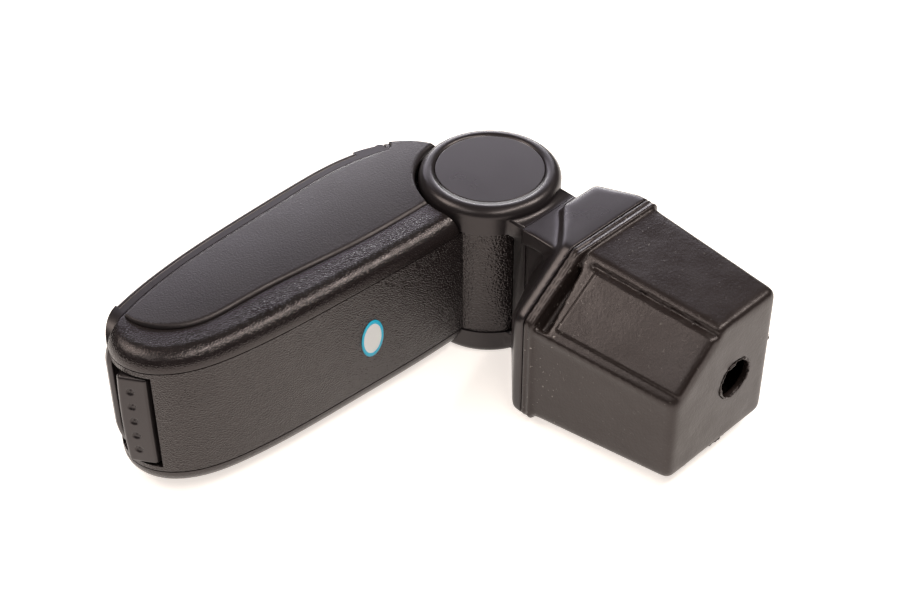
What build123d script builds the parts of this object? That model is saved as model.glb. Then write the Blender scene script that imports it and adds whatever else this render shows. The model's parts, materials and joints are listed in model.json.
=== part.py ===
from build123d import *
import math
import os

os.makedirs("parts", exist_ok=True)

# Car centre armrest with a console foot, lying on its right-hand side.
# Lengths are in millimetres. Z runs along the main hinge axis, from the face that lies on the
# floor (z = 0) to the left-hand side. X runs forward along the armrest. Y runs down the foot,
# so the lid is on the -Y side of the box.

# Main hinge: two collars of the fork with the armrest's barrel between them
hinge_height = 109.4
collar_height = 17.0
collar_radius = 42.3
collar_edge_radius = 6.0
barrel_radius = 41.3
turning_gap = 0.3
cap_radius = 32.5
cap_thickness = 3.0
cap_gap = 0.3
cap_edge_radius = 0.6

# Hinge pin, its head, nut and washers
pin_radius = 6.0
pin_fit = 0.05
pin_head_across = 19.0
pin_head_height = 7.0
nut_across = 19.0
nut_height = 8.0
washer_radius = 13.0
washer_thickness = 2.0
well_gap = 1.5
friction_disc_radius = 26.0
friction_disc_thickness = 1.5
bush_radius = 9.0
bush_length = 20.0

# Barrel lightening pockets
barrel_wall = 4.5
barrel_hub_radius = 27.5
barrel_core_height = 40.0
barrel_ribs = 6
barrel_rib_thickness = 3.0

# Fork arms and web between the collars and the foot's head
arm_half_width = 22.0
arm_thickness = 10.0
web_half_width = 18.6
web_gap = 1.0

# Foot head: a hood that flares from the neck to its lip, with one corner cut off
head_back_y = 51.0
head_lip_y = 83.0
head_rim_depth = 6.5
head_wall = 4.0
head_back_x_min = -38.0
head_back_x_max = 33.0
head_back_low_step = 14.0
head_back_high_step = 1.9
head_back_cut_x = 42.0
head_back_cut_z = 62.0
head_back_corner_radius = 8.0
head_back_edge_radius = 4.0
lip_x_min = -47.0
lip_x_max = 58.5
lip_low_step = 4.0
lip_high_step = 1.4
lip_cut_x = 39.0
lip_cut_z = 30.0
lip_corner_radius = 5.0

# Console insert below the lip
seam_gap = 0.6
seam_depth = 1.6
insert_lip_thickness = 6.4
lip_channel_width = 1.8
lip_channel_depth = 1.6
insert_inset = 1.8
insert_end_y = 182.0
insert_end_x_min = -41.0
insert_end_x_max = 43.0
insert_end_low_step = 9.5
insert_end_high_step = 7.9
insert_cut_x = 43.0
insert_cut_z = 31.5
insert_end_cut_x = 37.0
insert_end_cut_z = 34.0
insert_edge_radius = 4.5
insert_wall = 4.0
insert_top_wall = 6.0
gutter_width = 7.0
gutter_depth = 8.0
gutter_lead = 8.0
gutter_stop = 2.0
panel_inset = 5.5
panel_groove_depth = 2.2
panel_groove_width = 2.6
panel_bead_radius = 3.0
panel_bead_sink = 1.8

# Clamp bolt inside the insert, reached through the hole in its end
clamp_x = -9.5
clamp_hole_radius = 12.5
clamp_bolt_radius = 4.0
clamp_head_across = 13.0
clamp_head_height = 5.3
clamp_bolt_spare = 1.0
clamp_washer_radius = 12.0
clamp_washer_thickness = 2.0
clamp_boss_radius = 9.0
clamp_fit = 0.3
sleeve_radius = 6.0
sleeve_length = 24.0

# Armrest box across its width
box_side_step = 6.2
tray_collar_gap = 0.4
cover_edge_radius = 10.5
cover_wall = 3.0
cover_pocket_inset = 6.0
cover_rim_radius = 1.2
collar_clearance = 2.2
tray_wall = 3.0
seam_line_width = 0.7
seam_line_depth = 0.9

# Armrest side outline, from the hinge along the underside to the nose and back over the lid
under_rear_x = 47.0
under_rear_y = 15.6
under_mid_x = 125.0
under_mid_y = 12.2
under_front_x = 194.0
under_front_y = 5.6
chin_x = 232.0
chin_y = -8.0
nose_x = 247.5
nose_y = -36.0
brow_x = 238.5
brow_y = -56.8
lid_front_x = 217.0
lid_front_y = -66.3
lid_mid_x = 120.0
lid_mid_y = -77.1
lid_rear_x = 65.0
lid_rear_y = -78.8
hood_tip_x = 1.0
hood_front_pull = 36.0
hood_tip_lean = 6.0
hood_tip_pull = 22.5

# Parting line between tray and lid
lid_gap = 0.8
parting_sill_y = -63.4
parting_rear_x = 49.0
parting_rear_y = -68.9
parting_mid_x = 104.0
parting_mid_y = -69.3
parting_front_x = 207.0
parting_front_y = -60.0
parting_nose_y = -47.0

# Storage compartment in the tray
store_rear_x = 60.0
store_front_x = 216.0

# Side inlay panels
inlay_rise = 1.2
inlay_recess = 1.0
inlay_gap = 0.4
inlay_margin = 2.0
inlay_edge_radius = 1.1
inlay_rear_y = -7.7
inlay_mid_x = 104.0
inlay_mid_y = -9.0
inlay_front_x = 173.0
inlay_front_y = -15.3
inlay_turn_x = 212.0
inlay_turn_y = -21.5
inlay_tip_x = 227.0
inlay_tip_y = -38.0

# Lid and its hinge
lid_axis_x = 25.5
lid_axis_y = -67.8
lid_knuckle_radius = 3.6
lid_knuckle_gap = 0.5
lid_ear_radius = 3.0
lid_ear_width = 9.0
lid_ear_spread = 47.0
lid_ear_gap = 0.5
lid_pin_radius = 1.5
lid_pin_length = 66.0
lid_frame_thickness = 4.0
lid_side_step = 1.0
lid_corner_radius = 20.0
lid_setback = 0.6
pad_edge_radius = 3.0
pad_rear_x = 40.0
pad_front_x = 226.0
rib_height = 3.0
rib_thickness = 2.0
rib_gap = 1.0

# Latch button in the nose, its leaf spring and the lid's hook
button_length = 66.0
button_foot_x = 241.0
button_foot_y = -17.2
button_lip_x = 252.3
button_lip_y = -31.5
button_top_y = -35.0
button_lip_thickness = 2.5
button_back_x = 237.0
button_edge_radius = 1.6
button_gap = 0.5
button_bow_radius = 165.0
nose_recess = 5.0
button_travel = 3.0
button_dimples = 5
button_dimple_pitch = 10.9
button_dimple_radius = 2.6
button_dimple_depth = 1.0
button_dimple_inset = 5.1
latch_pocket_back_x = 231.0
spring_thickness = 0.6
spring_width = 8.0
spring_length = 44.0
latch_arm_x = 226.0
latch_arm_thickness = 3.0
latch_arm_width = 10.0
latch_arm_bar_y = -40.6
latch_arm_top_y = -48.2
latch_ledge = 1.5
latch_ledge_height = 2.0
hook_clearance = 1.2
hook_thickness = 3.0
hook_width = 14.0
hook_barb = 1.8
hook_barb_height = 2.5
hook_slot_gap = 1.5
hook_root_y = -56.0

# Screws
screw_radius = 1.75
screw_head_radius = 3.5
screw_head_height = 2.2
barrel_screw_y = -16.0
barrel_screw_pitch_y = 18.0
barrel_screw_pitch_z = 24.0
barrel_screw_length = 22.0
barrel_screw_sink = 8.0
screw_head_gap = 0.5
cover_boss_radius = 4.5
cover_screw_rear_x = 68.0
cover_screw_front_x = 205.0
cover_screw_low_y = -4.0
cover_screw_high_y = -50.0

# Heights that several pieces share
mid_z = hinge_height / 2
upper_collar_z = hinge_height - collar_height
box_low_z = box_side_step
box_high_z = hinge_height - box_side_step
tray_low_z = collar_height + tray_collar_gap
tray_high_z = upper_collar_z - tray_collar_gap
tray_width = tray_high_z - tray_low_z
cover_depth = tray_low_z - box_low_z
lid_low_z = box_low_z + lid_side_step
lid_width = box_high_z - lid_side_step - lid_low_z
lip_z_min = lip_low_step
lip_z_max = hinge_height - lip_high_step
insert_end_z_min = insert_end_low_step
insert_end_z_max = hinge_height - insert_end_high_step
cut_radius = collar_radius + collar_clearance
seat_radius = barrel_radius + turning_gap
hook_barb_x = latch_arm_x + latch_arm_thickness + latch_ledge + hook_clearance
hook_back_x = hook_barb_x + hook_barb
hook_front_x = hook_back_x + hook_thickness
head_rim_y = head_lip_y - head_rim_depth
insert_lip_y = head_lip_y + seam_gap
insert_body_y = insert_lip_y + insert_lip_thickness
facet_length = math.hypot(insert_cut_x, insert_cut_z)
large = 400.0


def cross_plane(y):
    """Plane across the foot at a given distance below the hinge; local axes are X and Z."""
    return Plane(origin=(0, y, 0), x_dir=(1, 0, 0), z_dir=(0, -1, 0))


def foot_section(y, x_min, x_max, z_min, z_max, cut_x, cut_z, corner_radius):
    """Foot cross-section: a rounded rectangle with its upper front corner cut off."""
    with BuildSketch(cross_plane(y)) as section:
        with BuildLine():
            Polyline(
                (x_min, z_min),
                (x_max, z_min),
                (x_max, z_max - cut_z),
                (x_max - cut_x, z_max),
                (x_min, z_max),
                close=True,
            )
        make_face()
        fillet(section.vertices(), corner_radius)
    return section.sketch


def lip_section(y, inset):
    """The foot's cross-section at the lip, made smaller all round by an inset."""
    return foot_section(
        y,
        lip_x_min + inset,
        lip_x_max - inset,
        lip_z_min + inset,
        lip_z_max - inset,
        lip_cut_x,
        lip_cut_z,
        lip_corner_radius,
    )


def head_back_section(y, inset):
    """The hood's cross-section at the neck, made smaller all round by an inset."""
    return foot_section(
        y,
        head_back_x_min + inset,
        head_back_x_max - inset,
        head_back_low_step + inset,
        hinge_height - head_back_high_step - inset,
        head_back_cut_x,
        head_back_cut_z,
        head_back_corner_radius,
    )


def insert_body_section(y, inset, facet_inset):
    """The insert's cross-section next to its lip, made smaller all round and at its cut corner."""
    return foot_section(
        y,
        lip_x_min + inset,
        lip_x_max - inset,
        lip_z_min + inset,
        lip_z_max - inset,
        insert_cut_x + facet_inset * facet_length / insert_cut_z,
        insert_cut_z + facet_inset * facet_length / insert_cut_x,
        lip_corner_radius,
    )


def insert_end_section(y, inset):
    """The insert's cross-section at its end face, made smaller all round by an inset."""
    return foot_section(
        y,
        insert_end_x_min + inset,
        insert_end_x_max - inset,
        insert_end_z_min + inset,
        insert_end_z_max - inset,
        insert_end_cut_x,
        insert_end_cut_z,
        lip_corner_radius,
    )


def underside_points(rise):
    """Points along the underside from the hinge to the nose, raised towards the lid."""
    return [
        (under_rear_x, under_rear_y - rise),
        (under_mid_x, under_mid_y - rise),
        (under_front_x, under_front_y - rise),
        (chin_x, chin_y - rise),
        (nose_x, nose_y - rise),
    ]


def armrest_outline():
    """Side outline of the closed armrest, tray and lid together."""
    hood_tip = (hood_tip_x, -math.sqrt(seat_radius**2 - hood_tip_x**2))
    seat_side = (seat_radius, 0)
    seat_end = (math.sqrt(seat_radius**2 - under_rear_y**2), under_rear_y)
    with BuildSketch() as outline:
        with BuildLine():
            under = Spline(*underside_points(0), tangents=[(1, 0), (0, -1)])
            over = Spline(
                (nose_x, nose_y),
                (brow_x, brow_y),
                (lid_front_x, lid_front_y),
                (lid_mid_x, lid_mid_y),
                (lid_rear_x, lid_rear_y),
                tangents=[(0, -1), (-1, 0)],
                tangent_scalars=[1, 1],
            )
            hood = Bezier(
                over @ 1,
                (lid_rear_x - hood_front_pull, lid_rear_y),
                (hood_tip_x + hood_tip_lean, hood_tip[1] - hood_tip_pull),
                hood_tip,
            )
            ThreePointArc(hood @ 1, seat_side, seat_end)
            Line(seat_end, under @ 0)
        make_face()
    return outline.sketch


def lid_region(shift):
    """Everything on the lid's side of the parting line, drawn back from it by a shift."""
    with BuildSketch() as region:
        with BuildLine():
            rear = Line((lid_axis_x, -large), (lid_axis_x, parting_sill_y - shift))
            ramp = Spline(
                rear @ 1,
                (parting_rear_x, parting_rear_y - shift),
                (parting_mid_x, parting_mid_y - shift),
                (parting_front_x, parting_front_y - shift),
                (nose_x, parting_nose_y - shift),
            )
            Polyline(ramp @ 1, (large, parting_nose_y - shift), (large, -large), rear @ 0)
        make_face()
    return region.sketch


def tray_side(margin):
    """Side outline of the tray: the armrest below the parting line, behind it the hood."""
    with BuildSketch() as side:
        add(armrest_outline())
        add(lid_region(-margin), mode=Mode.SUBTRACT)
        with Locations((lid_axis_x, lid_axis_y)):
            Circle(lid_knuckle_radius + lid_knuckle_gap + margin, mode=Mode.SUBTRACT)
    return side.sketch


def cover_side(margin):
    """Side outline of a side cover: the tray's, cut clear of the hinge collars."""
    with BuildSketch() as side:
        add(tray_side(margin))
        Circle(cut_radius + margin, mode=Mode.SUBTRACT)
    return side.sketch


def lid_side():
    """Side outline of the lid, rounded about its own hinge axis at the rear."""
    with BuildSketch() as side:
        add(armrest_outline())
        add(lid_region(lid_gap), mode=Mode.INTERSECT)
        with Locations((lid_axis_x, lid_axis_y)):
            Circle(lid_knuckle_radius)
    return side.sketch


def inlay_side(margin):
    """Side outline of an inlay panel, smaller than its recess by a margin."""
    with BuildSketch() as side:
        with BuildLine():
            near = Spline(
                (0, inlay_rear_y - margin),
                (inlay_mid_x, inlay_mid_y - margin),
                (inlay_front_x, inlay_front_y - margin),
                (inlay_turn_x - margin, inlay_turn_y - margin),
                (inlay_tip_x - margin, inlay_tip_y),
                (inlay_tip_x - margin, parting_front_y),
            )
            Polyline(near @ 1, (inlay_tip_x - margin, -large), (0, -large), near @ 0)
        make_face()
        add(tray_side(inlay_margin + margin), mode=Mode.INTERSECT)
        Circle(cut_radius, mode=Mode.SUBTRACT)
    return side.sketch


def above_floor(rise, x_min, x_max):
    """Everything above a floor that follows the underside, between two distances forward."""
    with BuildSketch() as side:
        with BuildLine():
            floor = Spline(*underside_points(rise), tangents=[(1, 0), (0, -1)])
            Polyline(floor @ 1, (nose_x, -large), (under_rear_x, -large), floor @ 0)
        make_face()
        with Locations(((x_min + x_max) / 2, 0)):
            Rectangle(x_max - x_min, 2 * large, mode=Mode.INTERSECT)
    return side.sketch


def below_seam(depth):
    """Everything outside the underside and nose when they are drawn in by a depth."""
    with BuildSketch() as side:
        Rectangle(2 * large, 2 * large)
        with BuildLine():
            drawn_in = Spline(
                *[(x - depth, y) for x, y in underside_points(depth)], tangents=[(1, 0), (0, -1)]
            )
            Polyline(
                drawn_in @ 1,
                (nose_x - depth, -large),
                (-large, -large),
                (-large, under_rear_y - depth),
                drawn_in @ 0,
            )
        make_face(mode=Mode.SUBTRACT)
    return side.sketch


def hexagon_radius(across_flats):
    """Corner radius of a hexagon of a given size across its flats."""
    return across_flats / math.sqrt(3)


# Heights of the washers, pin head and nut in the wells of the two collars
nut_low_z = cap_thickness + cap_gap
washer_low_z = nut_low_z + nut_height
pin_head_low_z = hinge_height - cap_thickness - cap_gap - pin_head_height
washer_high_z = pin_head_low_z - washer_thickness
well_radius = washer_radius + well_gap

# Barrel ends and the recesses that take the friction discs
barrel_low_z = collar_height + turning_gap
barrel_high_z = upper_collar_z - turning_gap
disc_seat_low_z = collar_height + friction_disc_thickness + turning_gap
disc_seat_high_z = upper_collar_z - friction_disc_thickness - turning_gap

# Hood of the foot, flaring from its rounded back edge to the lip
with BuildPart() as foot_hood:
    with BuildSketch(cross_plane(head_back_y)):
        add(head_back_section(head_back_y, 0))
    for rim_y in (head_rim_y, head_lip_y):
        with BuildSketch(cross_plane(rim_y)):
            add(lip_section(rim_y, 0))
    loft(ruled=True)
    fillet(foot_hood.edges().group_by(Axis.Y)[0], head_back_edge_radius)

# Hinge fork: collars, arms, web and the hollow hood in one moulding
with BuildPart() as hinge_fork:
    for collar_z in (0, upper_collar_z):
        with BuildSketch(Plane.XY.offset(collar_z)):
            Circle(collar_radius)
        extrude(amount=collar_height)
    rims = hinge_fork.edges().filter_by(GeomType.CIRCLE).group_by(Axis.Z)
    fillet(rims[0] + rims[-1], collar_edge_radius)
    for arm_z in (collar_height - arm_thickness, upper_collar_z):
        with BuildSketch(Plane.XY.offset(arm_z)):
            with Locations((0, head_rim_y / 2)):
                Rectangle(2 * arm_half_width, head_rim_y)
        extrude(amount=arm_thickness)
    with BuildSketch(Plane.XY.offset(collar_height)):
        with Locations((0, head_rim_y / 2)):
            Rectangle(2 * web_half_width, head_rim_y)
        Circle(barrel_radius + web_gap, mode=Mode.SUBTRACT)
    extrude(amount=upper_collar_z - collar_height)
    add(foot_hood.part)
    with BuildSketch(cross_plane(head_back_y + head_wall)):
        add(head_back_section(head_back_y + head_wall, head_wall))
    for rim_y in (head_rim_y, head_lip_y):
        with BuildSketch(cross_plane(rim_y)):
            add(lip_section(rim_y, head_wall))
    loft(ruled=True, mode=Mode.SUBTRACT)
    with BuildSketch(cross_plane(head_lip_y)):
        with Locations((clamp_x, mid_z)):
            Circle(clamp_boss_radius)
    extrude(amount=head_lip_y - head_back_y)
    with BuildSketch(cross_plane(head_lip_y)):
        with Locations((clamp_x, mid_z)):
            Circle(sleeve_radius)
    extrude(amount=sleeve_length, mode=Mode.SUBTRACT)
    with BuildSketch(Plane.XY):
        Circle(cap_radius + cap_gap)
    extrude(amount=cap_thickness, mode=Mode.SUBTRACT)
    with BuildSketch(Plane.XY):
        Circle(well_radius)
    extrude(amount=washer_low_z + washer_thickness, mode=Mode.SUBTRACT)
    with BuildSketch(Plane.XY.offset(hinge_height)):
        Circle(cap_radius + cap_gap)
    extrude(amount=-cap_thickness, mode=Mode.SUBTRACT)
    with BuildSketch(Plane.XY.offset(hinge_height)):
        Circle(well_radius)
    extrude(amount=washer_high_z - hinge_height, mode=Mode.SUBTRACT)
    with BuildSketch(Plane.XY):
        Circle(pin_radius + pin_fit)
    extrude(amount=hinge_height, mode=Mode.SUBTRACT)
hinge_fork.part.label = "hinge_fork"
export_step(hinge_fork.part, "parts/hinge_fork.step")

# Console insert: a hollow tapered block with a lip, a cut corner and a hole in its end
insert_x_max = lip_x_max - insert_inset
insert_z_max = lip_z_max - insert_inset
facet_angle = math.degrees(math.atan2(insert_cut_z, insert_cut_x))
facet_end_angle = math.degrees(math.atan2(insert_end_cut_z, insert_end_cut_x))
facet_end_length = math.hypot(insert_end_cut_x, insert_end_cut_z)
groove_share = panel_inset / facet_length
groove_end_share = panel_inset / facet_end_length
groove_start = (
    insert_x_max - insert_cut_x * (1 - groove_share),
    insert_z_max - insert_cut_z * groove_share,
)
groove_end = (
    insert_end_x_max - insert_end_cut_x * (1 - groove_end_share),
    insert_end_z_max - insert_end_cut_z * groove_end_share,
)
bead_start = (insert_x_max - panel_bead_sink, insert_z_max - insert_cut_z - panel_bead_sink)
bead_end = (
    insert_end_x_max - panel_bead_sink,
    insert_end_z_max - insert_end_cut_z - panel_bead_sink,
)
hollow_inset = insert_inset + insert_wall
facet_plane = Plane(
    origin=(insert_x_max - insert_cut_x, insert_body_y, insert_z_max),
    x_dir=(insert_cut_x, 0, -insert_cut_z),
    z_dir=(insert_cut_z, 0, insert_cut_x),
)
with BuildPart() as console_insert:
    with BuildSketch(cross_plane(insert_body_y)):
        add(insert_body_section(insert_body_y, insert_inset, 0))
    with BuildSketch(cross_plane(insert_end_y)):
        add(insert_end_section(insert_end_y, 0))
    loft(ruled=True)
    fillet(console_insert.edges().group_by(Axis.Y)[-1], insert_edge_radius)
    # bead along the panel's lower edge
    with BuildSketch(cross_plane(insert_body_y)):
        with Locations(bead_start):
            Circle(panel_bead_radius)
    with BuildSketch(cross_plane(insert_end_y - insert_edge_radius)):
        with Locations(bead_end):
            Circle(panel_bead_radius)
    loft(ruled=True)
    # groove along the panel's upper edge
    with BuildSketch(cross_plane(insert_body_y + gutter_width)):
        with Locations(groove_start):
            Rectangle(panel_groove_width, 2 * panel_groove_depth, rotation=-facet_angle)
    with BuildSketch(cross_plane(insert_end_y)):
        with Locations(groove_end):
            Rectangle(panel_groove_width, 2 * panel_groove_depth, rotation=-facet_end_angle)
    loft(ruled=True, mode=Mode.SUBTRACT)
    # wedge-shaped gutter between the lip and the panel
    with BuildSketch(facet_plane):
        with BuildLine():
            Polyline(
                (-gutter_lead, 0),
                (facet_length - gutter_stop, 0),
                (facet_length - gutter_stop, gutter_width),
                close=True,
            )
        make_face()
    extrude(amount=gutter_depth, both=True, mode=Mode.SUBTRACT)
    # lip with a channel round it, and the step that seats in the hood
    with BuildSketch(cross_plane(insert_lip_y)):
        add(lip_section(insert_lip_y, 0))
    extrude(amount=-insert_lip_thickness)
    with BuildSketch(cross_plane(insert_lip_y + (insert_lip_thickness - lip_channel_width) / 2)):
        add(lip_section(insert_lip_y, -lip_channel_depth))
        add(lip_section(insert_lip_y, lip_channel_depth), mode=Mode.SUBTRACT)
    extrude(amount=-lip_channel_width, mode=Mode.SUBTRACT)
    with BuildSketch(cross_plane(head_lip_y)):
        add(lip_section(head_lip_y, seam_depth))
    extrude(amount=-seam_gap)
    with BuildSketch(cross_plane(insert_lip_y + insert_top_wall)):
        add(insert_body_section(insert_lip_y + insert_top_wall, hollow_inset, gutter_depth))
    with BuildSketch(cross_plane(insert_end_y - insert_wall)):
        add(insert_end_section(insert_end_y - insert_wall, insert_wall))
    loft(ruled=True, mode=Mode.SUBTRACT)
    with BuildSketch(cross_plane(insert_end_y)):
        with Locations((clamp_x, mid_z)):
            Circle(clamp_hole_radius)
    extrude(amount=insert_wall, mode=Mode.SUBTRACT)
    with BuildSketch(cross_plane(insert_lip_y + insert_top_wall)):
        with Locations((clamp_x, mid_z)):
            Circle(clamp_bolt_radius + clamp_fit)
    extrude(amount=insert_top_wall + seam_gap, mode=Mode.SUBTRACT)
console_insert.part.label = "console_insert"
export_step(console_insert.part, "parts/console_insert.step")

# Clamp bolt, its washer and the threaded sleeve in the hood's boss
clamp_seat_y = insert_lip_y + insert_top_wall
clamp_bolt_length = clamp_washer_thickness + insert_top_wall + seam_gap + sleeve_length - clamp_bolt_spare
with BuildPart() as clamp_washer:
    with BuildSketch(cross_plane(clamp_seat_y + clamp_washer_thickness)):
        with Locations((clamp_x, mid_z)):
            Circle(clamp_washer_radius)
            Circle(clamp_bolt_radius + clamp_fit, mode=Mode.SUBTRACT)
    extrude(amount=clamp_washer_thickness)
clamp_washer.part.label = "clamp_washer"
export_step(clamp_washer.part, "parts/clamp_washer.step")

with BuildPart() as clamp_bolt:
    with BuildSketch(cross_plane(clamp_seat_y + clamp_washer_thickness)):
        with Locations((clamp_x, mid_z)):
            Circle(clamp_bolt_radius)
    extrude(amount=clamp_bolt_length)
    with BuildSketch(cross_plane(clamp_seat_y + clamp_washer_thickness)):
        with Locations((clamp_x, mid_z)):
            RegularPolygon(hexagon_radius(clamp_head_across), 6)
    extrude(amount=-clamp_head_height)
clamp_bolt.part.label = "clamp_bolt"
export_step(clamp_bolt.part, "parts/clamp_bolt.step")

with BuildPart() as threaded_sleeve:
    with BuildSketch(cross_plane(head_lip_y)):
        with Locations((clamp_x, mid_z)):
            Circle(sleeve_radius)
            Circle(clamp_bolt_radius, mode=Mode.SUBTRACT)
    extrude(amount=sleeve_length)
threaded_sleeve.part.label = "threaded_sleeve"
export_step(threaded_sleeve.part, "parts/threaded_sleeve.step")

# Round cover discs let into the outer faces of the collars
with BuildPart() as left_hinge_cap:
    with BuildSketch(Plane.XY.offset(hinge_height)):
        Circle(cap_radius)
    extrude(amount=-cap_thickness)
    fillet(left_hinge_cap.edges().group_by(Axis.Z)[-1], cap_edge_radius)
left_hinge_cap.part.label = "left_hinge_cap"
export_step(left_hinge_cap.part, "parts/left_hinge_cap.step")

with BuildPart() as right_hinge_cap:
    with BuildSketch(Plane.XY):
        Circle(cap_radius)
    extrude(amount=cap_thickness)
    fillet(right_hinge_cap.edges().group_by(Axis.Z)[0], cap_edge_radius)
right_hinge_cap.part.label = "right_hinge_cap"
export_step(right_hinge_cap.part, "parts/right_hinge_cap.step")

# Hinge pin with its hexagon head, nut, washers and friction discs
with BuildPart() as hinge_pin:
    with BuildSketch(Plane.XY.offset(nut_low_z)):
        Circle(pin_radius)
    extrude(amount=pin_head_low_z - nut_low_z)
    with BuildSketch(Plane.XY.offset(pin_head_low_z)):
        RegularPolygon(hexagon_radius(pin_head_across), 6)
    extrude(amount=pin_head_height)
hinge_pin.part.label = "hinge_pin"
export_step(hinge_pin.part, "parts/hinge_pin.step")

with BuildPart() as hinge_nut:
    with BuildSketch(Plane.XY.offset(nut_low_z)):
        RegularPolygon(hexagon_radius(nut_across), 6)
        Circle(pin_radius, mode=Mode.SUBTRACT)
    extrude(amount=nut_height)
hinge_nut.part.label = "hinge_nut"
export_step(hinge_nut.part, "parts/hinge_nut.step")

with BuildPart() as hinge_washers:
    for washer_z in (washer_low_z, washer_high_z):
        with BuildSketch(Plane.XY.offset(washer_z)):
            Circle(washer_radius)
            Circle(pin_radius + pin_fit, mode=Mode.SUBTRACT)
        extrude(amount=washer_thickness)
hinge_washers.part.label = "hinge_washers"
export_step(hinge_washers.part, "parts/hinge_washers.step")

with BuildPart() as friction_discs:
    for disc_z in (collar_height, upper_collar_z - friction_disc_thickness):
        with BuildSketch(Plane.XY.offset(disc_z)):
            Circle(friction_disc_radius)
            Circle(pin_radius + pin_fit, mode=Mode.SUBTRACT)
        extrude(amount=friction_disc_thickness)
friction_discs.part.label = "friction_discs"
export_step(friction_discs.part, "parts/friction_discs.step")

# Hinge barrel: a ribbed moulding that turns between the collars, and its two bushes
barrel_screw_seat_x = store_rear_x - barrel_screw_sink
pocket_depth = (barrel_high_z - barrel_low_z - barrel_core_height) / 2
with BuildPart() as hinge_barrel:
    with BuildSketch(Plane.XY.offset(barrel_low_z)):
        Circle(barrel_radius)
        Circle(bush_radius, mode=Mode.SUBTRACT)
    extrude(amount=barrel_high_z - barrel_low_z)
    with BuildSketch(Plane.XY.offset(barrel_low_z)) as barrel_pocket:
        Circle(barrel_radius - barrel_wall)
        Circle(barrel_hub_radius, mode=Mode.SUBTRACT)
        with PolarLocations(0, barrel_ribs):
            Rectangle(2 * barrel_radius, barrel_rib_thickness, mode=Mode.SUBTRACT)
    extrude(amount=pocket_depth, mode=Mode.SUBTRACT)
    with BuildSketch(Plane.XY.offset(barrel_high_z)):
        add(barrel_pocket.sketch_local)
    extrude(amount=-pocket_depth, mode=Mode.SUBTRACT)
    with BuildSketch(Plane.XY.offset(barrel_low_z)):
        Circle(friction_disc_radius + turning_gap)
    extrude(amount=disc_seat_low_z - barrel_low_z, mode=Mode.SUBTRACT)
    with BuildSketch(Plane.XY.offset(barrel_high_z)):
        Circle(friction_disc_radius + turning_gap)
    extrude(amount=disc_seat_high_z - barrel_high_z, mode=Mode.SUBTRACT)
    with BuildSketch(Plane.YZ.offset(barrel_screw_seat_x)):
        with Locations((barrel_screw_y, mid_z)):
            with GridLocations(barrel_screw_pitch_y, barrel_screw_pitch_z, 2, 2):
                Circle(screw_radius)
    extrude(amount=-barrel_screw_length, mode=Mode.SUBTRACT)
hinge_barrel.part.label = "hinge_barrel"
export_step(hinge_barrel.part, "parts/hinge_barrel.step")

with BuildPart() as barrel_bushes:
    for bush_z in (disc_seat_low_z, disc_seat_high_z - bush_length):
        with BuildSketch(Plane.XY.offset(bush_z)):
            Circle(bush_radius)
            Circle(pin_radius + pin_fit, mode=Mode.SUBTRACT)
        extrude(amount=bush_length)
barrel_bushes.part.label = "barrel_bushes"
export_step(barrel_bushes.part, "parts/barrel_bushes.step")

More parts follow.
